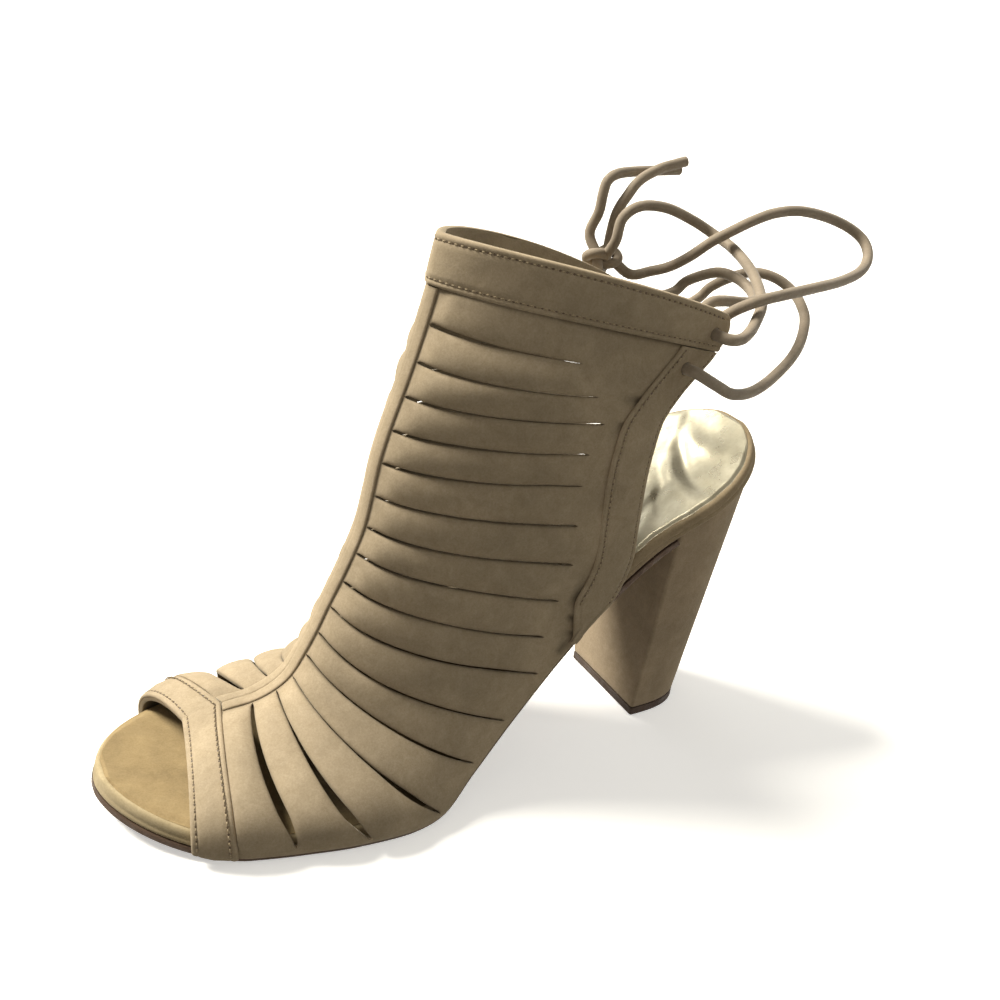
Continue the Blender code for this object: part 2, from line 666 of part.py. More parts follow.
def at_knot(dx, dy, dz):
    """Start of a cord just off the knot, on the side that a direction from its centre gives."""
    radii = np.array(KNOT_RADII) * MM
    direction = np.array([dx, dy, dz], float)
    touch = direction / np.linalg.norm(direction / radii)
    normal = touch / radii ** 2
    normal /= np.linalg.norm(normal)
    return [np.array(KNOT_CENTRE) * MM + touch + normal * reach for reach in (GAP, LEAD_IN)]


def make_cord(name, start, route, finish):
    """Round cord along a smooth curve through its start, its route and its finish."""
    places = np.array(start + [np.array(point) * MM for point in route] + finish[::-1])
    fine = np.array([faired(places, t) for t in np.linspace(0, len(places) - 1, 12 * len(places))])
    lengths = np.concatenate([[0.0], np.cumsum(np.linalg.norm(np.diff(fine, axis=0), axis=1))])
    low = LEAD_IN if start else 0
    high = lengths[-1] - (LEAD_IN if finish else 0)
    steps = np.linspace(low, high, math.ceil((high - low) / LACE_STEP) + 1)
    alongs = sorted({0.0, *steps, lengths[-1]})
    curve = bpy.data.curves.new(name, "CURVE")
    curve.dimensions = "3D"
    curve.bevel_depth = LACE / 2
    curve.bevel_resolution = 2
    curve.use_fill_caps = True
    curve.render_resolution_u = 0
    curve.materials.append(lace_cord)
    spline = curve.splines.new("POLY")
    spline.points.add(len(alongs) - 1)
    for point, along in zip(spline.points, alongs):
        point.co = (*(np.interp(along, lengths, fine[:, k]) for k in range(3)), 1)
    parts.objects.link(bpy.data.objects.new(name, curve))


def make_knot():
    bpy.ops.mesh.primitive_uv_sphere_add(
        segments=10, ring_count=6, radius=1, location=Vector(KNOT_CENTRE) * MM, scale=Vector(KNOT_RADII) * MM,
    )
    knot = bpy.context.active_object
    knot.name = "lace_knot"
    knot.data.materials.append(lace_cord)
    knot.data.shade_smooth()
    for owner in list(knot.users_collection):
        owner.objects.unlink(knot)
    parts.objects.link(knot)


def make_lace():
    """The lace's four runs, its knot and ends, and its short crossing on the inner tab."""
    make_cord("lace_loop_a", at_eyelet("upper", OUTER, -1), LOOP_A, at_eyelet("upper", INNER, -1))
    make_cord("lace_loop_b", at_eyelet("lower", OUTER, -1), LOOP_B, at_knot(1, -0.3, -0.3))
    make_cord("lace_loop_c", at_eyelet("lower", INNER, -1), LOOP_C, at_eyelet("lower", OUTER, 1))
    make_cord("lace_loop_d", at_eyelet("upper", OUTER, 1), LOOP_D, at_knot(0.1, -0.75, 1))
    make_cord("lace_end_1", at_knot(-0.4, 0.6, 0.8), END_1, [])
    make_cord("lace_end_2", at_knot(0.7, 0.35, 1), END_2, [])
    make_knot()
    rest = GAP + OVERLAY + GAP + LACE / 2
    ends = [surface(*eyelet(name, INNER), INNER, rest) for name in EYELETS]
    make_cord("lace_bar", [], [end / MM for end in ends], [])


for leftover in list(bpy.data.objects):
    bpy.data.objects.remove(leftover, do_unlink=True)
parts = bpy.data.collections.new("lace_up_heeled_sandal")
cutters = bpy.data.collections.new("cutters")
bpy.context.scene.collection.children.link(parts)
bpy.context.scene.collection.children.link(cutters)

upper_suede = new_material("faux_suede", (0.47, 0.37, 0.22), 0.9)
board_suede = new_material("footbed_wrap", (0.50, 0.36, 0.19), 0.85)
toe_suede = new_material("toe_lining", (0.53, 0.37, 0.18), 0.9)
heel_cover = new_material("heel_cover", (0.44, 0.34, 0.20), 0.85)
sock_metallic = new_material("metallic_sock", (0.62, 0.55, 0.42), 0.35, 0.6)
outsole_rubber = new_material("outsole_brown", (0.07, 0.04, 0.03), 0.6)
lift_rubber = new_material("lift_brown", (0.05, 0.03, 0.02), 0.6)
lace_cord = new_material("lace_cord", (0.50, 0.40, 0.27), 0.85)

make_outsole()
make_board()
make_sock("toe_lining", -TOE_REACH + SOCK_MARGIN, SOCK_JOINT - GAP, toe_suede)
make_sock("heel_sock", SOCK_JOINT, RUN - TOE_REACH - SOCK_MARGIN, sock_metallic)
make_heel()
plan = make_upper()
make_overlays(plan)
punch_eyelets()
make_lace()
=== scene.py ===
"""Looks of the lace up heeled sandal: napped suede, stitching, metallic sock, lace, light and camera.

Lengths are in millimetres until a mesh is made. The shape functions follow the ones the part was
built with, on finer grids, so every piece lies where the solid it stands for lies.
"""
import math

import bmesh
import bpy
import numpy as np
from mathutils import Matrix, Vector


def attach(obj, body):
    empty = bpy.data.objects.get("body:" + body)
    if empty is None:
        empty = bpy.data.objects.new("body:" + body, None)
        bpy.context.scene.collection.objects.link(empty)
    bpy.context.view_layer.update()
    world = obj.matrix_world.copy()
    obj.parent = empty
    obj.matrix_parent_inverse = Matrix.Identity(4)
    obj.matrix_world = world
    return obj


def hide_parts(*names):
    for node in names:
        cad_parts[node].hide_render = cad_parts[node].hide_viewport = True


MM = 0.001
OUTER = -1
INNER = 1

# Last and sole
RUN = 222.5
TOE_REACH = 80.3
BALL_WIDTH = 80
TREAD_FRONT = 30
TREAD_BACK = 8
TOE_SPRING = 5.5
TOE_SKEW = 5
TOE_POINT = 1.45
TOE_FULLNESS = 1.85
SEAT_LENGTH = 42.2
HEEL_HEIGHT = 73.9
SEAT_ANGLE = math.radians(29.5)
SHANK_ARCH = 3.5
OUTSOLE = 2.0
OUTSOLE_LIP = 0.6
BOARD_TOP = 7.5
SEAT_DISH = 1.6
SOCK = 0.7
SOCK_EDGE = 1.5
SOCK_JOINT = 62
RIM_ROUND = 1.6
BOARD_GAP = 0.6
END_CUT = 0.1

# Heel
LIFT = 3.0
HEEL_TOP_INSET = 1.0
HEEL_FOOT_WIDTH = 39.2
HEEL_FOOT_LENGTH = 27
HEEL_FOOT_POINT = 3.2
HEEL_FOOT_FULLNESS = 2.2
BREAST_SET = 1.2

# Upper
SHAFT_HEIGHT = 170.5
SHAFT_WIDTH = 62
SHAFT_LEAN = 7
INNER_NARROW = 0.9
WALL = 1.3
OVERLAY = 1.0
GAP = 0.3
FACE = GAP + OVERLAY
STRIP_WIDTH = 7.5
BAND_WIDTH = 15.5
EYELET = 4.0
EYELETS = {"upper": (17.45, 6.2), "lower": (16.25, 8.2)}
TAB_ROUND = 5
TAB_START = 17.5
TOE_BAND_ROW = 1
COLLAR_ROW = 17
BAND_START = 7.6
BAND_FULL = 9.2


def table(columns, *rows):
    """Rows of numbers under named columns."""
    return [dict(zip(columns.split(), row)) for row in rows]


# Insole board: share of RUN from the toe tip, outer and inner edge as shares of half BALL_WIDTH
OUTLINE = table(
    "along outer inner",
    (0.159, 0.890, 0.935), (0.227, 0.975, 0.985), (0.297, 1.050, 0.995), (0.361, 1.075, 0.965),
    (0.420, 1.020, 0.890), (0.484, 0.855, 0.775), (0.553, 0.750, 0.665), (0.632, 0.695, 0.605),
    (0.711, 0.672, 0.595), (0.780, 0.668, 0.630), (0.868, 0.7175, 0.7175),
)

# Upper from the toe opening to the collar, with the part's own shares. end_y and end_z are None
# where a section ends on the sole
SECTIONS = table(
    "crest_x crest_y crest_z end_x end_y end_z lead start_y start_z stop_x stop_y stop_z tail",
    (0.125, 0.200, 0.120, 0.091, None, None, -0.100, 0.66, -0.05, -0.15, -0.07, 0.65, 0.18),
    (0.177, 0.163, 0.147, 0.142, None, None, -0.200, 0.74, 0.02, -0.15, -0.07, 0.62, 0.18),
    (0.219, 0.138, 0.158, 0.213, None, None, -0.275, 0.71, 0.08, 0.20, -0.08, 0.44, 0.18),
    (0.248, 0.113, 0.180, 0.314, None, None, -0.118, 0.70, 0.10, 0.45, -0.13, 0.36, 0.14),
    (0.267, 0.087, 0.210, 0.423, None, None, -0.030, 0.62, 0.12, 0.38, -0.15, 0.42, 0.14),
    (0.283, 0.062, 0.257, 0.496, None, None, 0.025, 0.63, 0.18, 0.42, -0.12, 0.36, 0.18),
    (0.298, 0.037, 0.305, 0.550, None, None, 0.013, 0.68, 0.26, 0.43, -0.05, 0.33, 0.18),
    (0.313, 0.025, 0.355, 0.608, None, None, 0.017, 0.73, 0.27, 0.42, -0.04, 0.34, 0.25),
    (0.328, 0.013, 0.402, 0.654, None, None, 0.035, 0.72, 0.18, 0.43, -0.05, 0.34, 0.85),
    (0.344, 0.000, 0.455, 0.703, None, None, 0.030, 0.77, 0.13, 0.42, -0.10, 0.43, 1.35),
    (0.356, 0.000, 0.502, 0.720, 0.935, 0.423, 0.055, 0.76, 0.09, 0.42, -0.15, 0.42, 1.50),
    (0.364, 0.000, 0.559, 0.717, 0.968, 0.510, 0.080, 0.72, 0.06, 0.36, -0.18, 0.43, 1.50),
    (0.372, 0.000, 0.619, 0.715, 0.984, 0.596, 0.075, 0.70, 0.05, 0.31, -0.18, 0.44, 1.50),
    (0.384, 0.000, 0.677, 0.717, 1.000, 0.656, 0.077, 0.70, 0.05, 0.32, -0.18, 0.45, 1.50),
    (0.399, 0.000, 0.736, 0.725, 1.000, 0.711, 0.080, 0.74, 0.06, 0.37, -0.18, 0.45, 1.40),
    (0.413, 0.000, 0.795, 0.747, 0.984, 0.752, 0.095, 0.79, 0.08, 0.50, -0.20, 0.43, 1.90),
    (0.426, 0.000, 0.859, 0.777, 0.935, 0.785, 0.105, 0.80, 0.10, 0.44, -0.22, 0.43, 2.70),
    (0.436, 0.000, 0.917, 0.806, 0.903, 0.822, 0.135, 0.78, 0.00, 0.40, -0.25, 0.58, 2.70),
    (0.448, 0.000, 1.000, 0.827, 0.887, 0.883, 0.150, 0.78, -0.02, 0.35, -0.25, 0.62, 2.70),
)
LAST = len(SECTIONS) - 1
LAST_SOLE_ROW = max(i for i, row in enumerate(SECTIONS) if row["end_y"] is None)

# Lace, with the part's own routes
LACE = 3.5
LEAD_IN = 4.5
KNOT_CENTRE = (96.0, 32.3, 151.8)
KNOT_RADII = (7.5, 5.0, 4.8)
LOOP_A = [
    (98, -19, 149), (103, -17, 151.5), (109, -16, 151.5), (123.5, -12, 149), (130, -6, 149),
    (132.5, 0, 150), (132, 6, 151.5), (129.5, 13, 151.5), (122.5, 18.5, 147.5), (118, 19.5, 143.5),
    (107, 18.5, 142),
]
LOOP_B = [
    (96, -19, 140), (102, -19.5, 144), (105.5, -24, 150.5), (113, -26.5, 154.3), (124.5, -25.5, 155.5),
    (139, -22.5, 156), (155, -17.5, 156), (169.5, -11.5, 157), (177.5, -6, 160), (179.5, -1, 164),
    (176, 3, 167.5), (167.5, 6, 170.7), (156, 7.5, 172.7), (146, 8.5, 172), (137.5, 9, 169.5),
    (130.5, 10, 166.2), (124.5, 12.5, 162), (120, 17, 156), (116.5, 22, 151.5), (112, 26, 149),
]
LOOP_C = [
    (98, 19, 134), (110, 20, 135), (122, 22, 136), (132, 23, 139.5), (135, 21.5, 143.5), (139.5, 19, 147),
    (145, 15.5, 150), (149.5, 12, 150.5), (154, 8.5, 149), (157, 4, 146), (156.5, -1.5, 143),
    (154.5, -6.5, 139.5), (148, -13, 135), (139.5, -19, 132), (129, -25, 130), (119, -30, 128.5),
    (110, -33.5, 128), (101, -36, 129.5), (94, -36.5, 133),
]
LOOP_D = [
    (101, -35, 146), (107, -32, 147), (113, -27.5, 149), (118.5, -22.5, 151), (123.5, -15.5, 153),
    (129, -4, 156.5), (132, 9.5, 160), (131, 19.5, 162.5), (124, 23.5, 166.5), (114, 25.5, 170.2),
    (104.5, 27, 170.5), (98.5, 27.5, 166.5),
]
END_1 = [
    (95.5, 37, 166.5), (96.5, 37.5, 172.5), (98, 38, 176.5), (102.5, 39, 178.5), (111.5, 40.5, 179),
    (122, 42, 179), (130.5, 43, 179),
]
END_2 = [
    (101, 34.5, 167), (104, 34.5, 172), (109, 35.5, 177), (117, 36.5, 180.5), (123.5, 37, 182),
    (128, 37, 183),
]

# Studio, in metres. Each sun shines from its direction, with its spread in degrees
STAGE_RADIUS = 11.0
STAGE_BEND = 4.0
FLOOR_DROP = 0.0002
SKY_HIGH = (0.29, 0.27, 0.24)
SKY_LOW = (0.28, 0.26, 0.22)
WHITE = (1.0, 1.0, 1.0)
SUNS = {
    "key": {"from": (-0.47, 0.50, 0.73), "power": 6.7, "spread": 24, "colour": (1.0, 0.95, 0.84)},
    "fill": {"from": (0.85, -0.45, 0.25), "power": 1.2, "spread": 40, "colour": (0.97, 1.0, 0.92)},
}
BACK_LIGHT = {
    "at": (-0.1, 1.2, 1.05), "to": (0.1, 0.0, 0.1), "size": 1.4, "power": 3.5, "colour": (1.0, 0.97, 0.9),
}

# Camera, fitted to the photograph and aimed at the middle of the shoe
CAMERA_PLACE = (-116.7, -268.0, 239.1)
CAMERA_YAW = -31.41
CAMERA_PITCH = 26.12
CAMERA_ROLL = 6.24
CAMERA_ZOOM = 1.6
PHOTO_FOCAL = 24.87
SENSOR = 36

# Finish of the upper
ROW_PITCH = 9.5             # usual distance from one slit to the next
STRAP_CROWN = 0.95          # height of a strap's middle above its edges
STRAP_WAVE = 0.22
LIP_OUT = 0.12              # how far a strap's lower edge turns out
LIP_IN = 0.15               # how far its upper edge turns in
INNER_CREASE = 0.6          # height of the inner side's creases against the outer side's
EDGE_DROP = 0.35            # rounding of a cut edge, down to nothing a little way in
EDGE_REACH = 0.3
STRIP_SINK = 0.7            # how much flatter the strip lies than the collar
BAND_SINK = 0.3             # how much flatter the rear bands lie than the collar
SEAM_DIP = 0.35             # wall drawn in along the bands and the strip
SEAM_PAINTED_SHADE = 0.42            # painted shade there; the next one, along the cut edges
EDGE_PAINTED_SHADE = 0.25
LINING_PAINTED_SHADE = 0.55         # painted shade on the upper's inside, its tone against its outside
STITCH_PITCH = 2.0
STITCH_LENGTH = 1.25
STITCH_INSET = 1.9
STITCH_SINK = 0.1           # seams lie this much under a band's face
THREAD = 0.42
HOLE_LENGTH = 0.84
HOLE_WIDTH = 0.64
ROUND_SIDES = 8

# Width of each slit at the six middle places, which are shares of its length from the strip back
SLIT_PLACES = (0.0, 0.012, 0.035, 0.2, 0.4, 0.6, 0.8, 0.965, 0.988, 1.0)
SLIT_WIDTHS = {
    2: (0.9, 1.3, 1.8, 2.4, 3.0, 1.2),
    3: (0.5, 0.3, 0.8, 1.9, 3.1, 1.3),
    4: (0.5, 0.25, 0.3, 0.6, 1.9, 0.9),
    5: (0.9, 0.6, 0.5, 0.7, 0.8, 0.7),
    6: (0.9, 0.8, 0.7, 0.7, 0.7, 0.7),
    7: (0.9, 0.8, 0.7, 0.8, 1.1, 0.9),
    8: (1.0, 0.8, 0.6, 0.5, 0.6, 0.9),
    9: (1.0, 0.8, 0.7, 0.6, 0.7, 0.9),
    10: (1.0, 0.9, 0.8, 0.7, 0.7, 0.9),
    11: (0.8, 0.7, 0.7, 0.8, 0.9, 0.9),
    12: (1.0, 0.9, 0.7, 0.5, 0.35, 0.35),
    13: (1.0, 0.9, 0.7, 0.5, 0.35, 0.6),
    14: (1.0, 0.8, 0.4, 0.3, 0.25, 0.6),
    15: (1.1, 0.8, 0.45, 0.25, 0.25, 0.3),
    16: (1.3, 1.2, 0.7, 0.3, 0.12, 0.1),
}

# Creases of the upper: section and share of the way back, length, width and
# height in millimetres, and turn in degrees from the section's run
CREASES = table(
    "t back long wide high turn",
    (14.55, 0.56, 13, 4.5, -1.3, 6), (13.9, 0.50, 15, 2.6, 0.6, 4), (15.6, 0.70, 13, 7.0, -0.35, -20),
    (16.5, 0.55, 18, 6.5, 0.25, -12), (12.4, 0.62, 12, 5.0, -0.6, 70), (10.6, 0.80, 14, 4.0, 0.6, 40),
    (8.3, 0.86, 12, 3.5, -0.8, 12), (7.2, 0.80, 12, 3.6, -0.8, 8), (6.4, 0.45, 16, 5.0, 0.5, 30),
    (17.5, 0.45, 16, 4.0, -0.45, 85), (17.4, 0.72, 12, 3.4, 0.4, 80),
)

# Folds of the crushed heel sock: x along the sole, y across, length, width and
# height in millimetres, and turn in degrees from the sole's length
SOCK_FOLDS = table(
    "x y long wide high turn",
    (127, 4, 15, 3.6, 0.8, 82), (119, -4, 17, 1.9, -0.9, 66), (115, -2, 18, 2.3, 0.9, 63),
    (108, -6, 15, 2.0, -0.8, 52), (103, -9, 13, 2.3, 0.9, 46), (97, -13, 10, 1.8, -0.8, 30),
    (104, 11, 13, 2.6, -0.6, 85), (97, 9, 13, 3.4, 0.7, 95), (87, -2, 14, 3.0, -0.6, 75),
    (77, 2, 12, 4.0, 0.5, 95),
)


def fair_curve(xs, ys, x):
    """Cubic through the points that never overshoots them."""
    xs = np.asarray(xs, float)
    ys = np.asarray(ys, float)
    step = np.diff(xs)
    rise = np.diff(ys) / step
    tangent = np.zeros(len(xs))
    tangent[0] = rise[0]
    tangent[-1] = rise[-1]
    for i in range(1, len(xs) - 1):
        if rise[i - 1] * rise[i] > 0:
            after = 2 * step[i] + step[i - 1]
            before = step[i] + 2 * step[i - 1]
            tangent[i] = (after + before) / (after / rise[i - 1] + before / rise[i])
    k = int(np.clip(np.searchsorted(xs, x) - 1, 0, len(xs) - 2))
    t = (x - xs[k]) / step[k]
    start = ys[k] * (1 + 2 * t) * (1 - t) ** 2 + tangent[k] * step[k] * t * (1 - t) ** 2
    stop = ys[k + 1] * t * t * (3 - 2 * t) - tangent[k + 1] * step[k] * t * t * (1 - t)
    return float(start + stop)


def underside(x):
    """Height and slope of the sole's underside: toe spring, tread, shank and seat."""
    toe = -TOE_REACH
    breast = toe + RUN - SEAT_LENGTH
    seat_slope = math.tan(SEAT_ANGLE)
    if x < -TREAD_FRONT:
        share = (-TREAD_FRONT - x) / (TOE_REACH - TREAD_FRONT)
        return TOE_SPRING * share ** 2, -2 * TOE_SPRING * share / (TOE_REACH - TREAD_FRONT)
    if x < TREAD_BACK:
        return 0.0, 0.0
    if x > breast:
        return HEEL_HEIGHT + (x - breast) * seat_slope, seat_slope
    length = breast - TREAD_BACK
    u = (x - TREAD_BACK) / length
    z = HEEL_HEIGHT * (3 - 2 * u) * u * u + seat_slope * length * (u - 1) * u * u
    z += SHANK_ARCH * 16 * (u * (1 - u)) ** 2
    slope = HEEL_HEIGHT * 6 * u * (1 - u) / length + seat_slope * (3 * u * u - 2 * u)
    slope += SHANK_ARCH * 32 * u * (1 - u) * (1 - 2 * u) / length
    return z, slope


def on_sole(x, y, height):
    """Point at a height square to the underside."""
    z, slope = underside(x)
    length = math.hypot(1, slope)
    return np.array([x - height * slope / length, y, z + height / length])


def board_edges(x):
    """Outer and inner y of the insole board at x: round toe, waist and round seat."""
    toe = -TOE_REACH
    back = toe + RUN
    xs = [toe + row["along"] * RUN for row in OUTLINE]
    outer = [row["outer"] * BALL_WIDTH / 2 for row in OUTLINE]
    inner = [row["inner"] * BALL_WIDTH / 2 for row in OUTLINE]
    if x <= xs[0]:
        u = min((xs[0] - x) / (xs[0] - toe), 1.0)
        width = (outer[0] + inner[0]) / 2 * (1 - u ** TOE_POINT) ** (1 / TOE_FULLNESS)
        centre = (inner[0] - outer[0]) / 2 * (1 - u) + TOE_SKEW * u
        return centre - width, centre + width
    if x >= xs[-1]:
        u = min((x - xs[-1]) / (back - xs[-1]), 1.0)
        width = math.sqrt(1 - u * u)
        return -outer[-1] * width, inner[-1] * width
    return -fair_curve(xs, outer, x), fair_curve(xs, inner, x)


def board_middle(x):
    """Middle of the board at x, and half its width."""
    outer, inner = board_edges(x)
    return (outer + inner) / 2, (inner - outer) / 2


def faired(values, t):
    """Value at t of a smooth curve through values that stand at 0, 1, 2 and so on."""
    last = len(values) - 1
    i = min(max(int(math.floor(t)), 0), last - 1)
    f = t - i
    b, c = values[i], values[i + 1]
    a = values[i - 1] if i > 0 else 2 * b - c
    d = values[i + 2] if i < last - 1 else 2 * c - b
    blend = 2 * b + (c - a) * f + (2 * a - 5 * b + 4 * c - d) * f * f
    return 0.5 * (blend + (3 * b - a - 3 * c + d) * f ** 3)


def sole_end(share, side):
    x = -TOE_REACH + share * RUN
    edge = board_edges(x)[0 if side == OUTER else 1]
    return on_sole(x, edge + side * (BOARD_GAP + WALL), OUTSOLE + GAP)


def section(row, side):
    """Four points of a section's curve, from the crest to its end on one side."""
    crest = np.array([
        row["crest_x"] * RUN - TOE_REACH,
        row["crest_y"] * BALL_WIDTH / 2,
        row["crest_z"] * SHAFT_HEIGHT,
    ])
    if row["end_y"] is None:
        end = sole_end(row["end_x"], side)
    else:
        width = row["end_y"] * SHAFT_WIDTH / 2
        height = row["end_z"] * SHAFT_HEIGHT
        if side == INNER:
            width *= INNER_NARROW
            height -= SHAFT_LEAN * row["end_z"]
        end = np.array([row["end_x"] * RUN - TOE_REACH, side * width, height])
    span = end - crest
    lead = row["lead"] * BALL_WIDTH / 2
    start = crest + np.array([lead, span[1] * row["start_y"], span[2] * row["start_z"]])
    stop = end - span * np.array([row["stop_x"], row["stop_y"], row["stop_z"]])
    return np.array([crest, start, stop, end])


def section_between(curves, t, side):
    points = faired(curves, t)
    if t < LAST_SOLE_ROW:
        end = sole_end(faired([row["end_x"] for row in SECTIONS], t), side)
        points[2] += end - points[3]
        points[3] = end
    return points


def bezier(curve, u):
    v = 1 - u
    weights = np.stack([v ** 3, 3 * v * v * u, 3 * v * u * u, u ** 3], axis=-1)
    return (weights[..., None] * curve).sum(axis=-2)


def bezier_slope(curve, u):
    v = 1 - u
    weights = np.stack([v * v, 2 * v * u, u * u], axis=-1)
    return (weights[..., None] * np.diff(curve, axis=-2)).sum(axis=-2) * 3


class Skin:
    """The upper's outer surface, read from closely spaced sections. t runs from toe to collar."""

    STEP = 0.02
    SHARES = np.linspace(0, 1, 97)

    def __init__(self):
        self.ts = np.arange(0, LAST + self.STEP / 2, self.STEP)
        self.curves = {}
        self.full = {}
        self.reach = {}
        for side in (OUTER, INNER):
            rows = [section(row, side) for row in SECTIONS]
            curves = np.array([section_between(rows, t, side) for t in self.ts])
            path = bezier(curves[:, None], np.broadcast_to(self.SHARES, (len(self.ts), len(self.SHARES))))
            lengths = np.linalg.norm(np.diff(path, axis=1), axis=2).cumsum(axis=1)
            lengths = np.concatenate([np.zeros((len(self.ts), 1)), lengths], axis=1)
            self.curves[side] = curves
            self.full[side] = lengths[:, -1]
            even = [np.interp(self.SHARES * row[-1], row, self.SHARES) for row in lengths]
            self.reach[side] = np.array(even)

    def row(self, t):
        """Table row below t, and how far t is on the way to the next."""
        place = np.clip(t / self.STEP, 0, len(self.ts) - 1.001)
        low = place.astype(int)
        return low, place - low

    def curve(self, t, side):
        low, part = self.row(t)
        part = part[..., None, None]
        return self.curves[side][low] * (1 - part) + self.curves[side][low + 1] * part

    def share(self, t, distance, side):
        """Curve share at a distance from the crest."""
        low, part = self.row(t)
        across = np.clip(distance / self.length(t, side), 0, 0.99999) * (len(self.SHARES) - 1)
        left = across.astype(int)
        rest = across - left
        reach = self.reach[side]
        near, far = (reach[k, left] * (1 - rest) + reach[k, left + 1] * rest for k in (low, low + 1))
        return near * (1 - part) + far * part

    def length(self, t, side):
        return np.interp(t, self.ts, self.full[side])

    def total(self, t, side):
        """Length of a section from the crest to its end, cut back round the tab's corner."""
        corner = np.clip((t - TAB_START) / (LAST - TAB_START), 0, 1)
        return self.length(t, side) - TAB_ROUND * (1 - np.sqrt(1 - corner ** 2))

    def move(self, t, u, side):
        """Move on the surface over a short step of t, and the size of that step."""
        low = np.clip(t - self.STEP, 0, LAST)
        high = np.clip(t + self.STEP, 0, LAST)
        return bezier(self.curve(high, side), u) - bezier(self.curve(low, side), u), high - low

    def per_row(self, t, u, side):
        """Millimetres on the surface for a step of one in t."""
        move, step = self.move(t, u, side)
        return np.linalg.norm(move, axis=-1) / step

    def normal(self, t, u, side):
        across = bezier_slope(self.curve(t, side), u) * side
        normal = np.cross(self.move(t, u, side)[0], across)
        return normal / np.linalg.norm(normal, axis=-1)[..., None]

    def point(self, t, u, side, lift=0.0):
        t, u, lift = np.broadcast_arrays(np.asarray(t, float), np.asarray(u, float), lift)
        return bezier(self.curve(t, side), u) + self.normal(t, u, side) * lift[..., None]

    def at(self, t, distance, side, lift=0.0):
        """Point at a distance from the crest and a lift off the surface."""
        return self.point(t, self.share(t, distance, side), side, lift)


SKIN = Skin()


def column(name, t):
    values = [row[name] for row in SECTIONS]
    return np.interp(t, range(len(values)), values)


def tail(t):
    return column("tail", t) * BAND_WIDTH


def band_width(t):
    grown = np.clip((t - BAND_START) / (BAND_FULL - BAND_START), 0, 1)
    width = BAND_WIDTH * grown * grown * (3 - 2 * grown)
    narrow = 0.6 * np.minimum(tail(t), 0.3 * BAND_WIDTH)
    return np.minimum(np.maximum(width, narrow), 0.85 * tail(t))


def smooth(x):
    x = np.clip(x, 0, 1)
    return x * x * (3 - 2 * x)


def add_object(name, data):
    obj = bpy.data.objects.new(name, data)
    bpy.context.scene.collection.objects.link(obj)
    return obj


def new_mesh(name, verts, faces, material, angle=45):
    """Closed object from millimetre points, its faces turned outward."""
    mesh = bpy.data.meshes.new(name)
    mesh.from_pydata((np.asarray(verts) * MM).tolist(), [], faces)
    mesh.materials.append(material)
    turned = bmesh.new()
    turned.from_mesh(mesh)
    bmesh.ops.recalc_face_normals(turned, faces=turned.faces)
    turned.to_mesh(mesh)
    turned.free()
    mesh.shade_smooth()
    mesh.set_sharp_from_angle(angle=math.radians(angle))
    return add_object(name, mesh)


def shell(name, outer, inner, keep, material, painted_shading=None):
    """Wall between two grids of points, open where keep is False, with its edges closed."""
    rows, cols = outer.shape[:2]
    count = rows * cols
    index = np.arange(count).reshape(rows, cols)
    a, b, c, d = index[:-1, :-1], index[1:, :-1], index[1:, 1:], index[:-1, 1:]
    faces = np.stack([a, b, c, d], axis=-1)[keep].tolist()
    faces += (np.stack([a, d, c, b], axis=-1)[keep] + count).tolist()
    above = np.pad(keep, ((1, 0), (0, 0)))
    below = np.pad(keep, ((0, 1), (0, 0)))
    for i, j in zip(*np.nonzero(above != below)):
        p, q = int(index[i, j]), int(index[i, j + 1])
        faces.append([p, q, q + count, p + count])
    left = np.pad(keep, ((0, 0), (1, 0)))
    right = np.pad(keep, ((0, 0), (0, 1)))
    for i, j in zip(*np.nonzero(left != right)):
        p, q = int(index[i, j]), int(index[i + 1, j])
        faces.append([p, p + count, q + count, q])
    verts = np.concatenate([outer.reshape(-1, 3), inner.reshape(-1, 3)])
    used = np.unique(np.array(faces))
    renumber = np.full(len(verts), -1)
    renumber[used] = np.arange(len(used))
    obj = new_mesh(name, verts[used], renumber[np.array(faces)].tolist(), material)
    # painted shade along the seams and the cut edges of the outside, kept as a layer on the mesh
    if painted_shading is not None:
        # an even painted shade over the whole inside of the wall
        shade = np.concatenate([painted_shading.ravel(), np.full(count, LINING_PAINTED_SHADE)])[used]
        layer = obj.data.attributes.new("painted_shade_layer", "FLOAT", "POINT")
        layer.data.foreach_set("value", shade)
    return obj


def loft(name, rings, material, angle=45):
    """Closed body through rings of equal length, its first and last ring capped."""
    rings = np.asarray(rings)
    steps, count = rings.shape[:2]
    index = np.arange(steps * count).reshape(steps, count)
    after = np.roll(index, -1, axis=1)
    faces = np.stack([index[:-1], after[:-1], after[1:], index[1:]], axis=-1).reshape(-1, 4).tolist()
    faces.append(index[0][::-1].tolist())
    faces.append(index[-1].tolist())
    return new_mesh(name, rings.reshape(-1, 3), faces, material, angle)


def feed(tree, socket, value):
    """Link another node's output to a socket, or set the socket's own value."""
    if isinstance(value, bpy.types.NodeSocket):
        tree.links.new(value, socket)
    else:
        socket.default_value = (*value, 1) if isinstance(value, tuple) else value


def add_node(tree, kind, output, inputs=None, **settings):
    """New node with its inputs fed. Returns one of its outputs."""
    node = tree.nodes.new(kind)
    for key, value in settings.items():
        setattr(node, key, value)
    for key, value in (inputs or {}).items():
        feed(tree, node.inputs[key], value)
    return node.outputs[output]


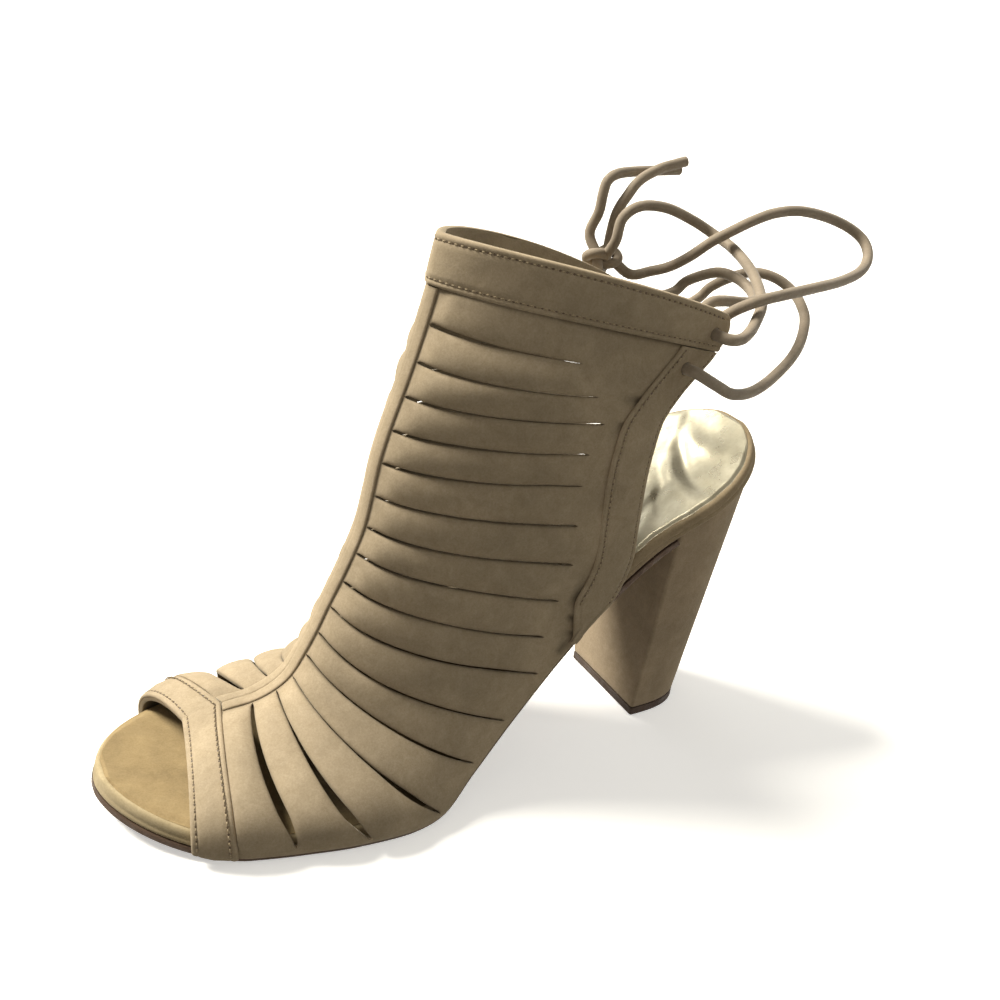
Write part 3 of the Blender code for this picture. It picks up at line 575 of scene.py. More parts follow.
class Finish:
    """Short way to write a material's node tree."""

    def __init__(self, name):
        self.material = bpy.data.materials.new(name)
        self.material.use_nodes = True
        self.tree = self.material.node_tree
        self.place = self.add("ShaderNodeTexCoord", "Object")

    def add(self, kind, output, inputs=None, **settings):
        return add_node(self.tree, kind, output, inputs, **settings)

    def noise(self, size, detail=2, roughness=0.5, distortion=0):
        """Noise whose blobs are about size millimetres across."""
        return self.add("ShaderNodeTexNoise", "Fac", {
            "Scale": 1 / (size * MM), "Detail": detail, "Roughness": roughness, "Distortion": distortion,
            "Vector": self.place,
        })

    def ramp(self, factor, dark, light, low=0.3, high=0.7):
        """Colour for a factor: dark up to low, light from high on."""
        node = self.tree.nodes.new("ShaderNodeValToRGB")
        for element, place, colour in zip(node.color_ramp.elements, (low, high), (dark, light)):
            element.position = place
            element.color = (*colour, 1)
        feed(self.tree, node.inputs["Fac"], factor)
        return node.outputs["Color"]

    def tones(self, factor, colour, dark, light):
        return self.ramp(factor, *(tuple(min(c * tone, 1) for c in colour) for tone in (dark, light)))

    def mix(self, factor, first, second, blend="MIX"):
        inputs = {0: factor, 6: first, 7: second}
        return self.add("ShaderNodeMix", 2, inputs, data_type="RGBA", blend_type=blend)

    def times(self, first, second):
        return self.mix(1.0, first, second, "MULTIPLY")

    def span(self, factor, low, high, first=0.35, last=0.65):
        """Factor moved from the range first to last into low to high."""
        return self.add("ShaderNodeMapRange", "Result", {
            "From Min": first, "From Max": last, "To Min": low, "To Max": high, "Value": factor})

    def behind(self, first, last):
        """Factor that grows from 0 to 1 between two places along the sole, in metres."""
        along = self.add("ShaderNodeSeparateXYZ", "X", {"Vector": self.place})
        return self.span(along, 0.0, 1.0, first, last)

    def bump(self, height, depth, strength, under=None):
        """Bump of a depth in millimetres, over another one."""
        inputs = {"Distance": depth * MM, "Strength": strength, "Height": height}
        if under:
            inputs["Normal"] = under
        return self.add("ShaderNodeBump", "Normal", inputs)

    def finish(self, colour, roughness, **inputs):
        shader = self.tree.nodes["Principled BSDF"]
        for name, value in {"Base_Color": colour, "Roughness": roughness, **inputs}.items():
            feed(self.tree, shader.inputs[name.replace("_", " ")], value)
        return self.material


def suede(name, colour, nap=0.35, patch=28, shaded=False, toe=None, under=1.0):
    """Napped faux suede: brushed patches, short fibres, a soft sheen and no gloss.

    nap is the strength of its fibres and patch the size of its patches. shaded darkens it by the
    mesh's layer of painted shade along seams and cut edges, toe is another colour ahead of the ball,
    and under is its tone behind the toe opening: painted shade where it lies in the shade of the vamp.
    """
    m = Finish(name)
    shade = m.tones(m.noise(patch, 3, 0.6, 0.6), colour, 0.84, 1.12)
    if toe:
        shade = m.mix(m.behind(-0.03, 0.02), toe, shade)
    shade = m.times(shade, m.ramp(m.noise(5, 4, 0.65, 1.2), (0.86, 0.85, 0.82), WHITE))
    fibres = m.noise(0.6, 4, 0.7)
    shade = m.times(shade, m.ramp(fibres, (0.80, 0.79, 0.76), WHITE, 0.28, 0.68))
    # painted shade behind the toe opening, where the vamp covers the sock
    if under < 1:
        shade = m.times(shade, m.ramp(m.behind(-0.036, -0.024), WHITE, (under, under, under), 0.0, 1.0))
    # painted shade along seams and cut edges, read from the mesh's layer
    if shaded:
        shade = m.times(shade, m.add("ShaderNodeAttribute", "Color", attribute_name="painted_shade_layer"))
    soft = m.bump(m.noise(9, 3, 0.55, 0.4), 0.4, 0.5)
    return m.finish(
        shade, m.span(m.noise(4, 3), 0.82, 0.97), Normal=m.bump(fibres, 0.16, nap, soft), Sheen_Weight=0.25,
        Sheen_Roughness=0.4, Sheen_Tint=(1.0, 0.92, 0.76), Specular_IOR_Level=0.15,
    )


def metallic_sock(name):
    """Crushed champagne foil on a thin leather."""
    m = Finish(name)
    tone = m.ramp(m.noise(12, 3, 0.5, 0.6), (0.50, 0.465, 0.345), (0.66, 0.625, 0.49))
    worn = m.ramp(m.noise(1.6, 4, 0.7), (0.88, 0.86, 0.82), WHITE, 0.3, 0.62)
    normal = m.bump(m.noise(0.5, 3, 0.6), 0.03, 0.4, m.bump(m.noise(24, 1, 0.4, 0.4), 1.0, 0.15))
    return m.finish(
        m.times(tone, worn), m.span(m.noise(6, 3), 0.26, 0.36), Normal=normal, Metallic=0.8,
        Coat_Weight=0.1, Coat_Roughness=0.3,
    )


def rubber(name, colour):
    m = Finish(name)
    return m.finish(
        m.tones(m.noise(6, 4, 0.6), colour, 0.8, 1.25), m.span(m.noise(3, 3), 0.5, 0.75),
        Normal=m.bump(m.noise(0.8, 3, 0.6), 0.1, 0.35), Specular_IOR_Level=0.3,
    )


def thread(name, colour):
    m = Finish(name)
    tone = m.tones(m.noise(0.6, 2), colour, 0.75, 1.1)
    return m.finish(tone, 0.7, Normal=m.bump(m.noise(0.25, 2), 0.05, 0.5), Specular_IOR_Level=0.25)


def cord_suede(name, colour):
    """Round rolled cord with a fine brushed surface."""
    m = Finish(name)
    tone = m.tones(m.noise(9, 3, 0.6, 0.5), colour, 0.85, 1.12)
    fine = m.ramp(m.noise(0.7, 4, 0.65), (0.84, 0.83, 0.82), WHITE)
    normal = m.bump(m.noise(0.6, 4, 0.7), 0.12, 0.45, m.bump(m.noise(2.4, 2), 0.15, 0.4))
    return m.finish(
        m.times(tone, fine), m.span(m.noise(2, 2), 0.6, 0.8), Normal=normal, Sheen_Weight=0.2,
        Specular_IOR_Level=0.3,
    )


def upper_columns():
    """Shares of the slit's length at its columns, and shares of the wall behind it."""
    slit = np.array([0, 0.006, 0.012, 0.022, 0.035, 0.055, 0.08, 0.11, 0.145, 0.185, 0.23, 0.28, 0.33, 0.38,
                     0.43, 0.48, 0.53, 0.58, 0.63, 0.68, 0.73, 0.775, 0.82, 0.86, 0.895, 0.925, 0.95, 0.965,
                     0.978, 0.988, 0.995, 1.0])
    behind = np.array([0.05, 0.12, 0.25, 0.45, 0.7, 1.0])
    return slit, behind


def slit_width(q, row, side):
    """Opening of a slit at share q of its length, round at both ends, tighter on the inner side."""
    widths = SLIT_WIDTHS[row]
    values = (0.1, widths[0] * 0.8, *widths, widths[-1] * 0.8, 0.1)
    width = np.interp(q, SLIT_PLACES, values)
    if side == OUTER or row < 5:
        return width
    return np.minimum(width, 0.25 + 0.3 * smooth((q - 0.15) / 0.15))


def strap_lift(f, q, interval, side):
    """Relief of a strap: crowned between its slits and a little wavy along its length."""
    slit_low = interval in SLIT_WIDTHS
    slit_high = interval + 1 in SLIT_WIDTHS
    if not (slit_low or slit_high):
        return np.zeros(np.broadcast(f, q).shape)
    inside = smooth(q / 0.12) * smooth((1 - q) / 0.11)
    wave = STRAP_WAVE * math.sin(interval * 2.1 + side) * np.sin(math.pi * (2.2 * q + 0.37 * interval))
    rise = min(f / 0.5, 1) if slit_low else 1.0
    fall = min((1 - f) / 0.5, 1) if slit_high else 1.0
    crown = STRAP_CROWN * (1 - (1 - rise) ** 2) * (1 - (1 - fall) ** 2)
    low = LIP_OUT * (1 - f) ** 2 if slit_low else 0
    high = -LIP_IN * f ** 2 if slit_high else 0
    return inside * (crown + wave + low + high)


def fold_height(fold, forward, sideways, bow=0.0):
    """Height of a long low fold at a place measured from its middle."""
    turn = math.radians(fold["turn"])
    along = forward * math.cos(turn) + sideways * math.sin(turn)
    across = -forward * math.sin(turn) + sideways * math.cos(turn) + bow * along ** 2
    return fold["high"] * np.exp(-(along / fold["long"]) ** 2 - (across / fold["wide"]) ** 2)


def crease_lift(t, distance, total, side):
    """Height of the hand-placed creases at a place on the upper."""
    height = sum(fold_height(c, distance - c["back"] * total, (t - c["t"]) * ROW_PITCH) for c in CREASES)
    return height if side == OUTER else INNER_CREASE * height


def seam_depth(t, distance, total, scale):
    """How near a place is to a seam: 0 away from all, 1 at the collar's, more at the rear bands'."""
    strip = np.abs(distance - STRIP_WIDTH / 2 - 0.45)
    rear = np.where(t > BAND_START, np.abs(distance - (total - band_width(t)) + 0.35), 9.0)
    collar = np.abs(COLLAR_ROW - t) * scale
    toe = np.abs(t - TOE_BAND_ROW) * scale
    faint = np.maximum(0.28 * np.exp(-(strip / 0.5) ** 2), 0.32 * np.exp(-(toe / 0.6) ** 2))
    return np.maximum(np.exp(-(collar / 0.75) ** 2), np.maximum(1.3 * np.exp(-(rear / 0.85) ** 2), faint))


def make_upper(material):
    """Wall of the upper, both sides, cut by its slits, with painted shade along seams and cut edges."""
    slit_columns, behind = upper_columns()
    front = np.array([0, 0.35, 0.7])
    heights = np.array([0, 0.02, 0.06, 0.13, 0.23, 0.36, 0.5, 0.64, 0.77, 0.87, 0.94, 0.98, 1.0])
    rows = []
    for i in range(LAST):
        skip = 1 if i and i not in SLIT_WIDTHS else 0
        rows += [(i, f) for f in heights[skip:]]
    # Share of the slit's length at every column, held before its front end and behind its rear end
    q = np.concatenate([np.zeros(len(front)), slit_columns, np.ones(len(behind))])
    closing = smooth(q / 0.03) * smooth((1 - q) / 0.025)
    sides = []
    for side in (OUTER, INNER):
        grid_rows = []
        for interval, f in rows:
            t = np.full(len(q), interval + f)
            total = float(SKIN.total(t[0], side))
            first = STRIP_WIDTH / 2 + GAP
            cut = total - float(tail(t[0])) - first
            rest = total - first - cut
            places = (front * first, first + cut * slit_columns, first + cut + rest * behind)
            distance = np.concatenate(places)
            u = SKIN.share(t, distance, side)
            scale = SKIN.per_row(t, u, side)
            moved = t
            edge = 0.0
            for row, away, turn in ((interval, f, 1), (interval + 1, 1 - f, -1)):
                if row in SLIT_WIDTHS:
                    moved = moved + turn * (1 - away) * (slit_width(q, row, side) / 2 / scale)
                    edge += math.exp(-away * ROW_PITCH / EDGE_REACH)
            moved = np.clip(moved, 0, LAST)
            near_seam = seam_depth(t, distance, total, scale)
            lift = strap_lift(f, q, interval, side) + crease_lift(t, distance, total, side)
            lift = lift - SEAM_DIP * near_seam
            grid_rows.append((
                SKIN.point(moved, u, side, lift - EDGE_DROP * edge * closing),
                SKIN.point(moved, u, side, lift - WALL),
                # painted shade along the seams and along the cut edges of the slits
                ((1 - SEAM_PAINTED_SHADE * near_seam) * (1 - EDGE_PAINTED_SHADE * edge * closing))[:, None],
            ))
        sides.append([np.array(grid) for grid in zip(*grid_rows)])
    outer, inner, painted_shading = (join_sides(*grids) for grids in zip(*sides))
    keep = np.ones((len(rows) - 1, outer.shape[1] - 1), bool)
    start = len(front)
    stop = start + len(slit_columns) - 1
    crest = len(q) - 1
    for i in range(len(rows) - 1):
        if rows[i][1] == 1.0 and rows[i + 1][1] == 0:
            keep[i, crest + start:crest + stop] = False
            keep[i, crest - stop:crest - start] = False
    return shell("upper_suede", outer, inner, keep, material, painted_shading)


def join_sides(outer_side, inner_side):
    """One grid across the foot from two grids that meet on the crest."""
    crest = (outer_side[:, :1] + inner_side[:, :1]) / 2
    return np.concatenate([outer_side[:, :0:-1], crest, inner_side[:, 1:]], axis=1)


def band_ring(width, top, near, far, inside):
    """Cross-section of a folded band as (distance from its near edge, lift), a closed loop.

    near and far hold distances inward from the two edges with heights against the face at top,
    and inside holds distances from the far edge with the lifts of what is folded under.
    """
    ring = [(0.0, 0.3)] + [(d, top + rise) for d, rise in near] + [(width / 2, top + 0.1)]
    ring += [(width - d, top + rise) for d, rise in far] + [(width - d, lift) for d, lift in inside]
    return ring + [(width / 2, 0.05), (0.1, 0.05)]


def toe_profile(width):
    """Both edges alike and turned down, the upper one lower."""
    near = [(0.08, -0.45), (0.35, -0.14), (0.9, 0), (STITCH_INSET - 0.45, 0), (STITCH_INSET, -0.15),
            (STITCH_INSET + 0.45, 0), (STITCH_INSET + 1.5, 0.06)]
    far = [(d, rise - BAND_SINK * 1.3) for d, rise in reversed(near)]
    return band_ring(width, FACE, near, far, [(0, 0.3), (0.1, 0.05)])


def collar_profile(width):
    """Folded over the top edge to a facing inside."""
    near = [(0.08, -0.45), (0.35, -0.14), (0.9, 0), (1.25, 0), (STITCH_INSET, -0.22), (2.15, 0), (4, 0.08)]
    far = [(4, 0.08), (2.35, 0), (STITCH_INSET, -0.22), (1.45, 0), (0.9, 0), (0.4, -0.15), (0.12, -0.5),
           (0, -1.0)]
    facing = [(0, -WALL + 0.3), (0.15, -WALL - 0.05), (0.6, -WALL - 0.25), (4, -WALL - 0.3), (8, -WALL - 0.3),
              (8.3, -WALL - 0.05), (1.2, 0.05)]
    return band_ring(width, FACE, near, far, facing)


def cross_band(name, row, shares, profile, corner, material):
    """Band across the whole foot over the row after the given one, thinned by corner at its two ends."""
    rings = []
    for side, steps in ((OUTER, shares[::-1]), (INNER, shares[1:])):
        for share in steps:
            width = float(SKIN.per_row(row + 0.5, min(share, 0.999), side))
            thin = 1 - corner * max((share - 0.99) / 0.01, 0) ** 2
            ring = []
            for d, lift in profile(width):
                t = row + min(max(d / width, 0.0), 1.0)
                ring.append(SKIN.at(t, share * SKIN.total(t, side), side, lift * thin))
            rings.append(ring)
    return loft(name, rings, material)


def back_band(label, side, material):
    """Band down a rear edge, folded round it to the inside."""
    near = [(0.1, -0.5), (0.45, -0.3), (0.9, -0.2), (1.4, -0.16), (STITCH_INSET, -0.24), (2.3, -0.1),
            (3.2, 0.06)]
    far = [(3.2, 0.06), (2.1, 0), (STITCH_INSET, -0.22), (1.3, 0), (0.9, 0), (0.35, -0.15), (0.1, -0.5),
           (0, -1.0)]
    rings = []
    for t in np.linspace(BAND_START + 0.3, COLLAR_ROW - 0.03, 90):
        total = float(SKIN.total(t, side))
        width = float(band_width(t))
        fold = min(1.0, width / BAND_WIDTH)
        wall = -WALL * fold
        facing = [(0, wall + 0.2), (0.2, wall - 0.1), (1, wall - 0.25), (5 * fold, wall - 0.25),
                  (5.2 * fold, wall - 0.02), (1.5, 0.05)]
        squeeze = min(1.0, width / 7)
        ring = []
        for place, lift in band_ring(width, FACE - BAND_SINK, near, far, facing):
            edge = width - (width - place) * squeeze if place > width / 2 else place * squeeze
            ring.append(SKIN.at(t, total - width + min(max(edge, 0), width), side, lift))
        rings.append(ring)
    return loft(f"back_band_{label}_suede", rings, material)


def centre_strip(material):
    """Raised strip up the front with a faint fold along its middle."""
    half = STRIP_WIDTH / 2
    top = FACE - STRIP_SINK
    profile = [(half, 0.15), (half - 0.04, top - 0.35), (half - 0.25, top - 0.12), (half - 0.7, top - 0.02),
               (half - 1.6, top), (0.7, top), (0.35, top - 0.03)]
    rings = []
    for t in np.linspace(TOE_BAND_ROW + 0.03, COLLAR_ROW - 0.03, 170):
        halves = [[SKIN.at(t, 0.0, side, lift) for side in (OUTER, INNER)] for lift in (top - 0.22, 0.05)]
        fold, base = (sum(pair) / 2 for pair in halves)
        ring = [SKIN.at(t, d, OUTER, lift) for d, lift in profile] + [fold]
        ring += [SKIN.at(t, d, INNER, lift) for d, lift in reversed(profile)]
        ring += [SKIN.at(t, half - 0.2, INNER, 0.05), base, SKIN.at(t, half - 0.2, OUTER, 0.05)]
        rings.append(ring)
    return loft("centre_strip_suede", rings, material)


def path_lengths(points):
    """Length along a path up to each of its points."""
    return np.concatenate([[0.0], np.cumsum(np.linalg.norm(np.diff(points, axis=0), axis=1))])


def along_path(values, lengths, place):
    """Points or normals of a path, read at another length along it."""
    return np.stack([np.interp(place, lengths, values[:, k]) for k in range(3)], axis=-1)


def stitch_row(points, normals):
    """Centres, directions and normals of evenly spaced stitches along a path."""
    lengths = path_lengths(points)
    count = max(int(lengths[-1] / STITCH_PITCH), 1)
    stitches = []
    for s in (np.arange(count) + 0.5) * lengths[-1] / count:
        behind, place, ahead = along_path(points, lengths, np.array([s - 0.4, s, s + 0.4]))
        direction = ahead - behind
        normal = along_path(normals, lengths, s)
        stitches.append((place, direction / np.linalg.norm(direction), normal / np.linalg.norm(normal)))
    return stitches


def thread_mesh(name, stitches, material):
    """All stitches of a seam as one mesh of short bent threads."""
    sides = 6
    bends = [(-0.5, -0.35, 0.55), (-0.36, 0.02, 0.95), (0, 0.12, 1.0), (0.36, 0.02, 0.95), (0.5, -0.35, 0.55)]
    verts = []
    faces = []
    for place, direction, normal in stitches:
        across = np.cross(direction, normal)
        across /= np.linalg.norm(across)
        up = np.cross(across, direction)
        base = len(verts)
        for along, height, size in bends:
            centre = place + direction * along * STITCH_LENGTH + up * height
            for k in range(sides):
                angle = 2 * math.pi * k / sides
                verts.append(centre + (across * math.cos(angle) + up * math.sin(angle)) * THREAD / 2 * size)
        last = base + (len(bends) - 1) * sides
        for start in range(base, last, sides):
            for k in range(sides):
                after = (k + 1) % sides
                faces.append((start + k, start + after, start + after + sides, start + k + sides))
        faces.append(tuple(base + k for k in reversed(range(sides))))
        faces.append(tuple(last + k for k in range(sides)))
    return new_mesh(name, verts, faces, material, 60)


def needle_holes(name, stitches, material):
    """Painted shade of the needle holes between the stitches: small dark flat discs that stand just proud of
    the suede.
    """
    verts = []
    faces = []
    for place, direction, normal in stitches:
        across = np.cross(direction, normal)
        centre = place + direction * STITCH_PITCH / 2
        base = len(verts)
        verts.append(centre + normal * 0.12)
        for k in range(ROUND_SIDES):
            angle = 2 * math.pi * k / ROUND_SIDES
            offset = direction * math.cos(angle) * HOLE_LENGTH / 2 + across * math.sin(angle) * HOLE_WIDTH / 2
            verts.append(centre + offset + normal * 0.06)
        verts.append(centre - normal * 0.2)
        for k in range(ROUND_SIDES):
            a = base + 1 + k
            b = base + 1 + (k + 1) % ROUND_SIDES
            faces += [(base, a, b), (base + 1 + ROUND_SIDES, b, a)]
    return new_mesh(name, verts, faces, material, 30)


def seam(ts, distances, side, lift):
    """Path on one side of the upper with its normals."""
    u = SKIN.share(ts, distances, side)
    return SKIN.point(ts, u, side, lift), SKIN.normal(ts, u, side)


def cross_seam(edge_t, inward):
    """Path across the whole foot beside a band's edge, with its normals."""
    halves = []
    for side, shares in ((OUTER, np.linspace(0.97, 0, 50)), (INNER, np.linspace(0, 0.97, 50)[1:])):
        t = edge_t + inward * STITCH_INSET / SKIN.per_row(edge_t + inward * 0.1, shares, side)
        halves.append(seam(t, shares * SKIN.total(t, side), side, FACE - STITCH_SINK))
    return [np.concatenate(parts) for parts in zip(*halves)]


def make_stitches(thread_material, hole_shade_material):
    """Two rows of stitches on every band, with the painted shade of the needle holes between them."""
    groups = {
        "toe_band": stitch_row(*cross_seam(0, 1)) + stitch_row(*cross_seam(TOE_BAND_ROW, -1)),
        "collar_band": stitch_row(*cross_seam(COLLAR_ROW, 1)) + stitch_row(*cross_seam(LAST, -1)),
    }
    ts = np.linspace(BAND_FULL - 0.3, COLLAR_ROW - 0.15, 80)
    for label, side in (("outer", OUTER), ("inner", INNER)):
        totals = SKIN.total(ts, side)
        groups[f"back_band_{label}"] = []
        for distances in (totals - STITCH_INSET, totals - band_width(ts) + STITCH_INSET):
            path = seam(ts, distances, side, FACE - STITCH_SINK - BAND_SINK)
            groups[f"back_band_{label}"] += stitch_row(*path)
    made = []
    for label, stitches in groups.items():
        made.append(thread_mesh(f"{label}_stitches", stitches, thread_material))
        made.append(needle_holes(f"{label}_needle_holes", stitches, hole_shade_material))
    return made


def at_eyelet(name, side, lift):
    t, inset = EYELETS[name]
    return SKIN.at(t, SKIN.total(t, side) - inset, side, lift)


def cut_eyelets(targets):
    """Round punched holes through wall and band, cut from the fine pieces."""
    cutters = []
    for name in EYELETS:
        for side in (OUTER, INNER):
            inside, outside = (Vector(at_eyelet(name, side, lift) * MM) for lift in (-8.0, 8.0))
            axis = outside - inside
            bpy.ops.mesh.primitive_cylinder_add(
                vertices=32, radius=EYELET / 2 * MM, depth=axis.length, location=(inside + outside) / 2,
                rotation=axis.to_track_quat("Z", "Y").to_euler(),
            )
            cutters.append(bpy.context.active_object)
    for target in targets:
        for cutter in cutters:
            cut = target.modifiers.new("eyelet", "BOOLEAN")
            cut.object = cutter
            cut.solver = "EXACT"
    depsgraph = bpy.context.evaluated_depsgraph_get()
    for target in targets:
        mesh = bpy.data.meshes.new_from_object(target.evaluated_get(depsgraph))
        target.modifiers.clear()
        target.data = mesh
        mesh.set_sharp_from_angle(angle=math.radians(45))
    for cutter in cutters:
        bpy.data.objects.remove(cutter)


def stations(count):
    """Places along the sole, closer together toward its two ends."""
    return [-TOE_REACH + END_CUT + (RUN - 2 * END_CUT) * (1 - math.cos(math.pi * k / count)) / 2
            for k in range(count + 1)]


def board_top(x, share):
    """Height of the board's hollowed top, level again at the rim all round."""
    toe = -TOE_REACH
    breast = toe + RUN - SEAT_LENGTH
    hollow = float(np.interp(x, (TREAD_BACK, breast), (0.4, 1.0))) * SEAT_DISH
    ahead = 1 - (x - toe) / (OUTLINE[0]["along"] * RUN)
    behind = 1 - (toe + RUN - x) / ((1 - OUTLINE[-1]["along"]) * RUN)
    return BOARD_TOP - hollow * (1 - share ** 2) * (1 - max(ahead, behind, 0.0) ** 2)


def inset_board(x, margin):
    """Middle and half width of the board at x, a margin inside its edge also at the toe and the seat."""
    toe = -TOE_REACH
    back = toe + RUN
    first = toe + OUTLINE[0]["along"] * RUN
    last = toe + OUTLINE[-1]["along"] * RUN
    shown = x
    if x < first:
        shown = max(first - (first - x) * (first - toe) / (first - toe - margin), toe)
    if x > last:
        shown = min(last + (x - last) * (back - last) / (back - last - margin), back)
    centre, reach = board_middle(shown)
    widest = board_middle(min(max(x, first), last))[1]
    return centre, reach * (widest - margin) / widest


def make_board(material):
    """Wrapped board: rounded rim, a slightly full side and the crease where the wrap turns under."""
    low = OUTSOLE + GAP
    high = BOARD_TOP - low
    wrap = [(0.7, 0.0), (0.15, 0.15), (0.0, 0.7), (0.0, 1.5), (0.25, 1.9), (0.0, 2.3)]
    rim = [(0.0, high * 0.6), (0.05, high - 1.6), (0.35, high - 0.75), (0.9, high - 0.25), (1.6, high - 0.02)]
    rings = []
    for x in stations(150):
        centre, half = board_middle(x)
        round_off = min(RIM_ROUND, 0.45 * half)
        ceiling = float(np.interp(min(x + TOE_REACH, RUN - TOE_REACH - x), *zip(*rim)))
        drop = rim[-1][1] - ceiling
        edge = [(min(d, round_off), min(h, ceiling)) for d, h in wrap + rim]
        ring = [on_sole(x, centre + half - d, low + h) for d, h in edge]
        for s in (0.93, 0.8, 0.6, 0.4, 0.2, 0, -0.2, -0.4, -0.6, -0.8, -0.93):
            share = s * (half - round_off) / half
            ring.append(on_sole(x, centre + half * share, board_top(x, share) - drop))
        ring += [on_sole(x, centre - half + d, low + h) for d, h in reversed(edge)]
        ring += [on_sole(x, centre + half * share, low) for share in (-0.6, -0.2, 0.2, 0.6)]
        rings.append(ring)
    return loft("footbed_wrap", rings, material, 60)


def make_outsole(material):
    breast = RUN - TOE_REACH - SEAT_LENGTH
    side = [(0.15, 0.2), (0.0, 0.6), (0.0, 1.6)]
    rings = []
    for x in [x for x in stations(150) if x < breast - GAP] + [breast]:
        centre, half = board_middle(x)
        half += OUTSOLE_LIP
        ring = [on_sole(x, centre + (half - 0.6) * k, 0) for k in (-1, -0.5, 0, 0.5, 1)]
        ring += [on_sole(x, centre + half - d, h) for d, h in side]
        ring += [on_sole(x, centre + (half - 0.25) * k, OUTSOLE) for k in (1, 0.5, 0, -0.5, -1)]
        ring += [on_sole(x, centre - half + d, h) for d, h in reversed(side)]
        rings.append(ring)
    return loft("outsole_rubber", rings, material, 50)


def sock_relief(x, y):
    return sum(fold_height(fold, x - fold["x"], y - fold["y"], 0.012) for fold in SOCK_FOLDS)


def make_sock(name, front, back, margin, feather, material, relief, wavy):
    """Thin sock on the board, a margin inside its edge and thinned there over a share, the feather.

    relief(x, y) is its height over a flat one, and wavy the wander of its edge.
    """
    grid = []
    for k in np.linspace(0.012, 0.988, 110):
        x = front + (back - front) * (1 - math.cos(math.pi * k)) / 2
        middle, reach = inset_board(x, margin)
        centre, half = board_middle(x)
        near_end = min(x - front, back - x)
        row = []
        for s in np.sin(np.linspace(-1, 1, 49) * math.pi / 2):
            wander = wavy * (math.sin(x * 0.31) + 0.6 * math.sin(x * 0.83 + 1)) * min(reach / 12, 1)
            y = middle + (reach + wander * abs(s) ** 3) * s
            rise = float(smooth(min((1 - abs(s)) / feather, near_end / 0.9 + 0.05)))
            lift = relief(x, y) * float(smooth((1 - abs(s)) / 0.2)) * float(smooth(near_end / 7))
            base = board_top(x, min(max((y - centre) / half, -1.0), 1.0)) + GAP
            top = base + SOCK + lift - (1 - rise) * (SOCK + GAP - 0.12)
            row.append((on_sole(x, y, top), on_sole(x, y, base - 0.25)))
        grid.append(row)
    grid = np.array(grid)
    keep = np.ones((grid.shape[0] - 1, grid.shape[1] - 1), bool)
    return shell(name, grid[:, :, 0], grid[:, :, 1], keep, material)


def heel_ring(share, bottom, top, turns=40):
    """Level of the heel between its foot outline and the board, with softly rounded breast corners."""
    breast = RUN - TOE_REACH - SEAT_LENGTH + GAP
    shift = OUTSOLE * math.sin(SEAT_ANGLE)
    length = SEAT_LENGTH - HEEL_TOP_INSET - shift
    steps = [math.sin(math.pi / 2 * k / turns) for k in range(turns + 1)]
    corner = [(d / length, inset) for d, inset in ((0.0, 1.1), (0.12, 0.55), (0.45, 0.18), (1.0, 0.0))]
    ring = []
    for side, path in ((0, steps[1:]), (1, steps[-2:0:-1])):
        points = [(v, 0) for v in path if v * length > 1.2]
        points = points + corner[::-1] if side else corner + points
        for v, pull in points:
            x = breast + shift + length * v
            edge = board_edges(x + HEEL_TOP_INSET * v)[side]
            inset = (HEEL_TOP_INSET + pull) * (1 if side == 0 else -1)
            y = edge + inset if abs(edge) > HEEL_TOP_INSET else 0.0
            high = on_sole(x, y, top)
            width = HEEL_FOOT_WIDTH / 2 * (1 - v ** HEEL_FOOT_POINT) ** (1 / HEEL_FOOT_FULLNESS) - pull
            low = np.array([breast - BREAST_SET + HEEL_FOOT_LENGTH * v, width * (2 * side - 1), bottom])
            ring.append(low + (high - low) * share)
    return ring


def drawn_in(ring, part):
    """Ring drawn toward its middle by a part of its size."""
    ring = np.array(ring)
    middle = ring.mean(axis=0)
    return middle + (ring - middle) * (1 - part)


def make_heel(cover, rubber_material):
    """Wrapped block, its lowest edge turned in, and the lift below it with both edges eased."""
    shares = np.concatenate([[0, 0.004, 0.012], np.linspace(0.03, 1, 30)])
    rings = [drawn_in(heel_ring(s, LIFT + GAP, OUTSOLE), 0.35 * math.exp(-s / 0.004) / 20) for s in shares]
    block = loft("heel_cover_suede", rings, cover, 40)
    levels = [(0.0, 0.25), (0.25, 0.0), (LIFT - 0.25, 0.0), (LIFT, 0.2)]
    rings = [drawn_in(heel_ring(0, height, OUTSOLE), inset / 18) for height, inset in levels]
    return block, loft("heel_lift_rubber", rings, rubber_material, 30)


def at_knot(direction, reach):
    """Point on the knot's ellipsoid in a direction, moved outward by reach."""
    radii = np.array(KNOT_RADII)
    touch = np.array(direction) / np.linalg.norm(direction / radii)
    normal = touch / radii ** 2
    return np.array(KNOT_CENTRE) + touch + normal / np.linalg.norm(normal) * reach


def smooth_path(places, spacing=1.2):
    """Evenly spaced points on a smooth curve through the places."""
    places = np.array([np.asarray(p, float) for p in places])
    fine = np.array([faired(places, t) for t in np.linspace(0, len(places) - 1, 24 * len(places))])
    lengths = path_lengths(fine)
    count = max(int(lengths[-1] / spacing), 2)
    return along_path(fine, lengths, np.linspace(0, lengths[-1], count + 1))


def cord_curve(name, path, radius, closed, material):
    """Round cord as a curve through the points of a path."""
    curve = bpy.data.curves.new(name, "CURVE")
    curve.dimensions = "3D"
    curve.bevel_depth = radius * MM
    curve.bevel_resolution = 6
    curve.use_fill_caps = not closed
    curve.materials.append(material)
    spline = curve.splines.new("POLY")
    spline.points.add(len(path) - 1)
    for point, place in zip(spline.points, path):
        point.co = (*(place * MM), 1)
    spline.use_cyclic_u = closed
    spline.use_smooth = True
    return add_object(name, curve)


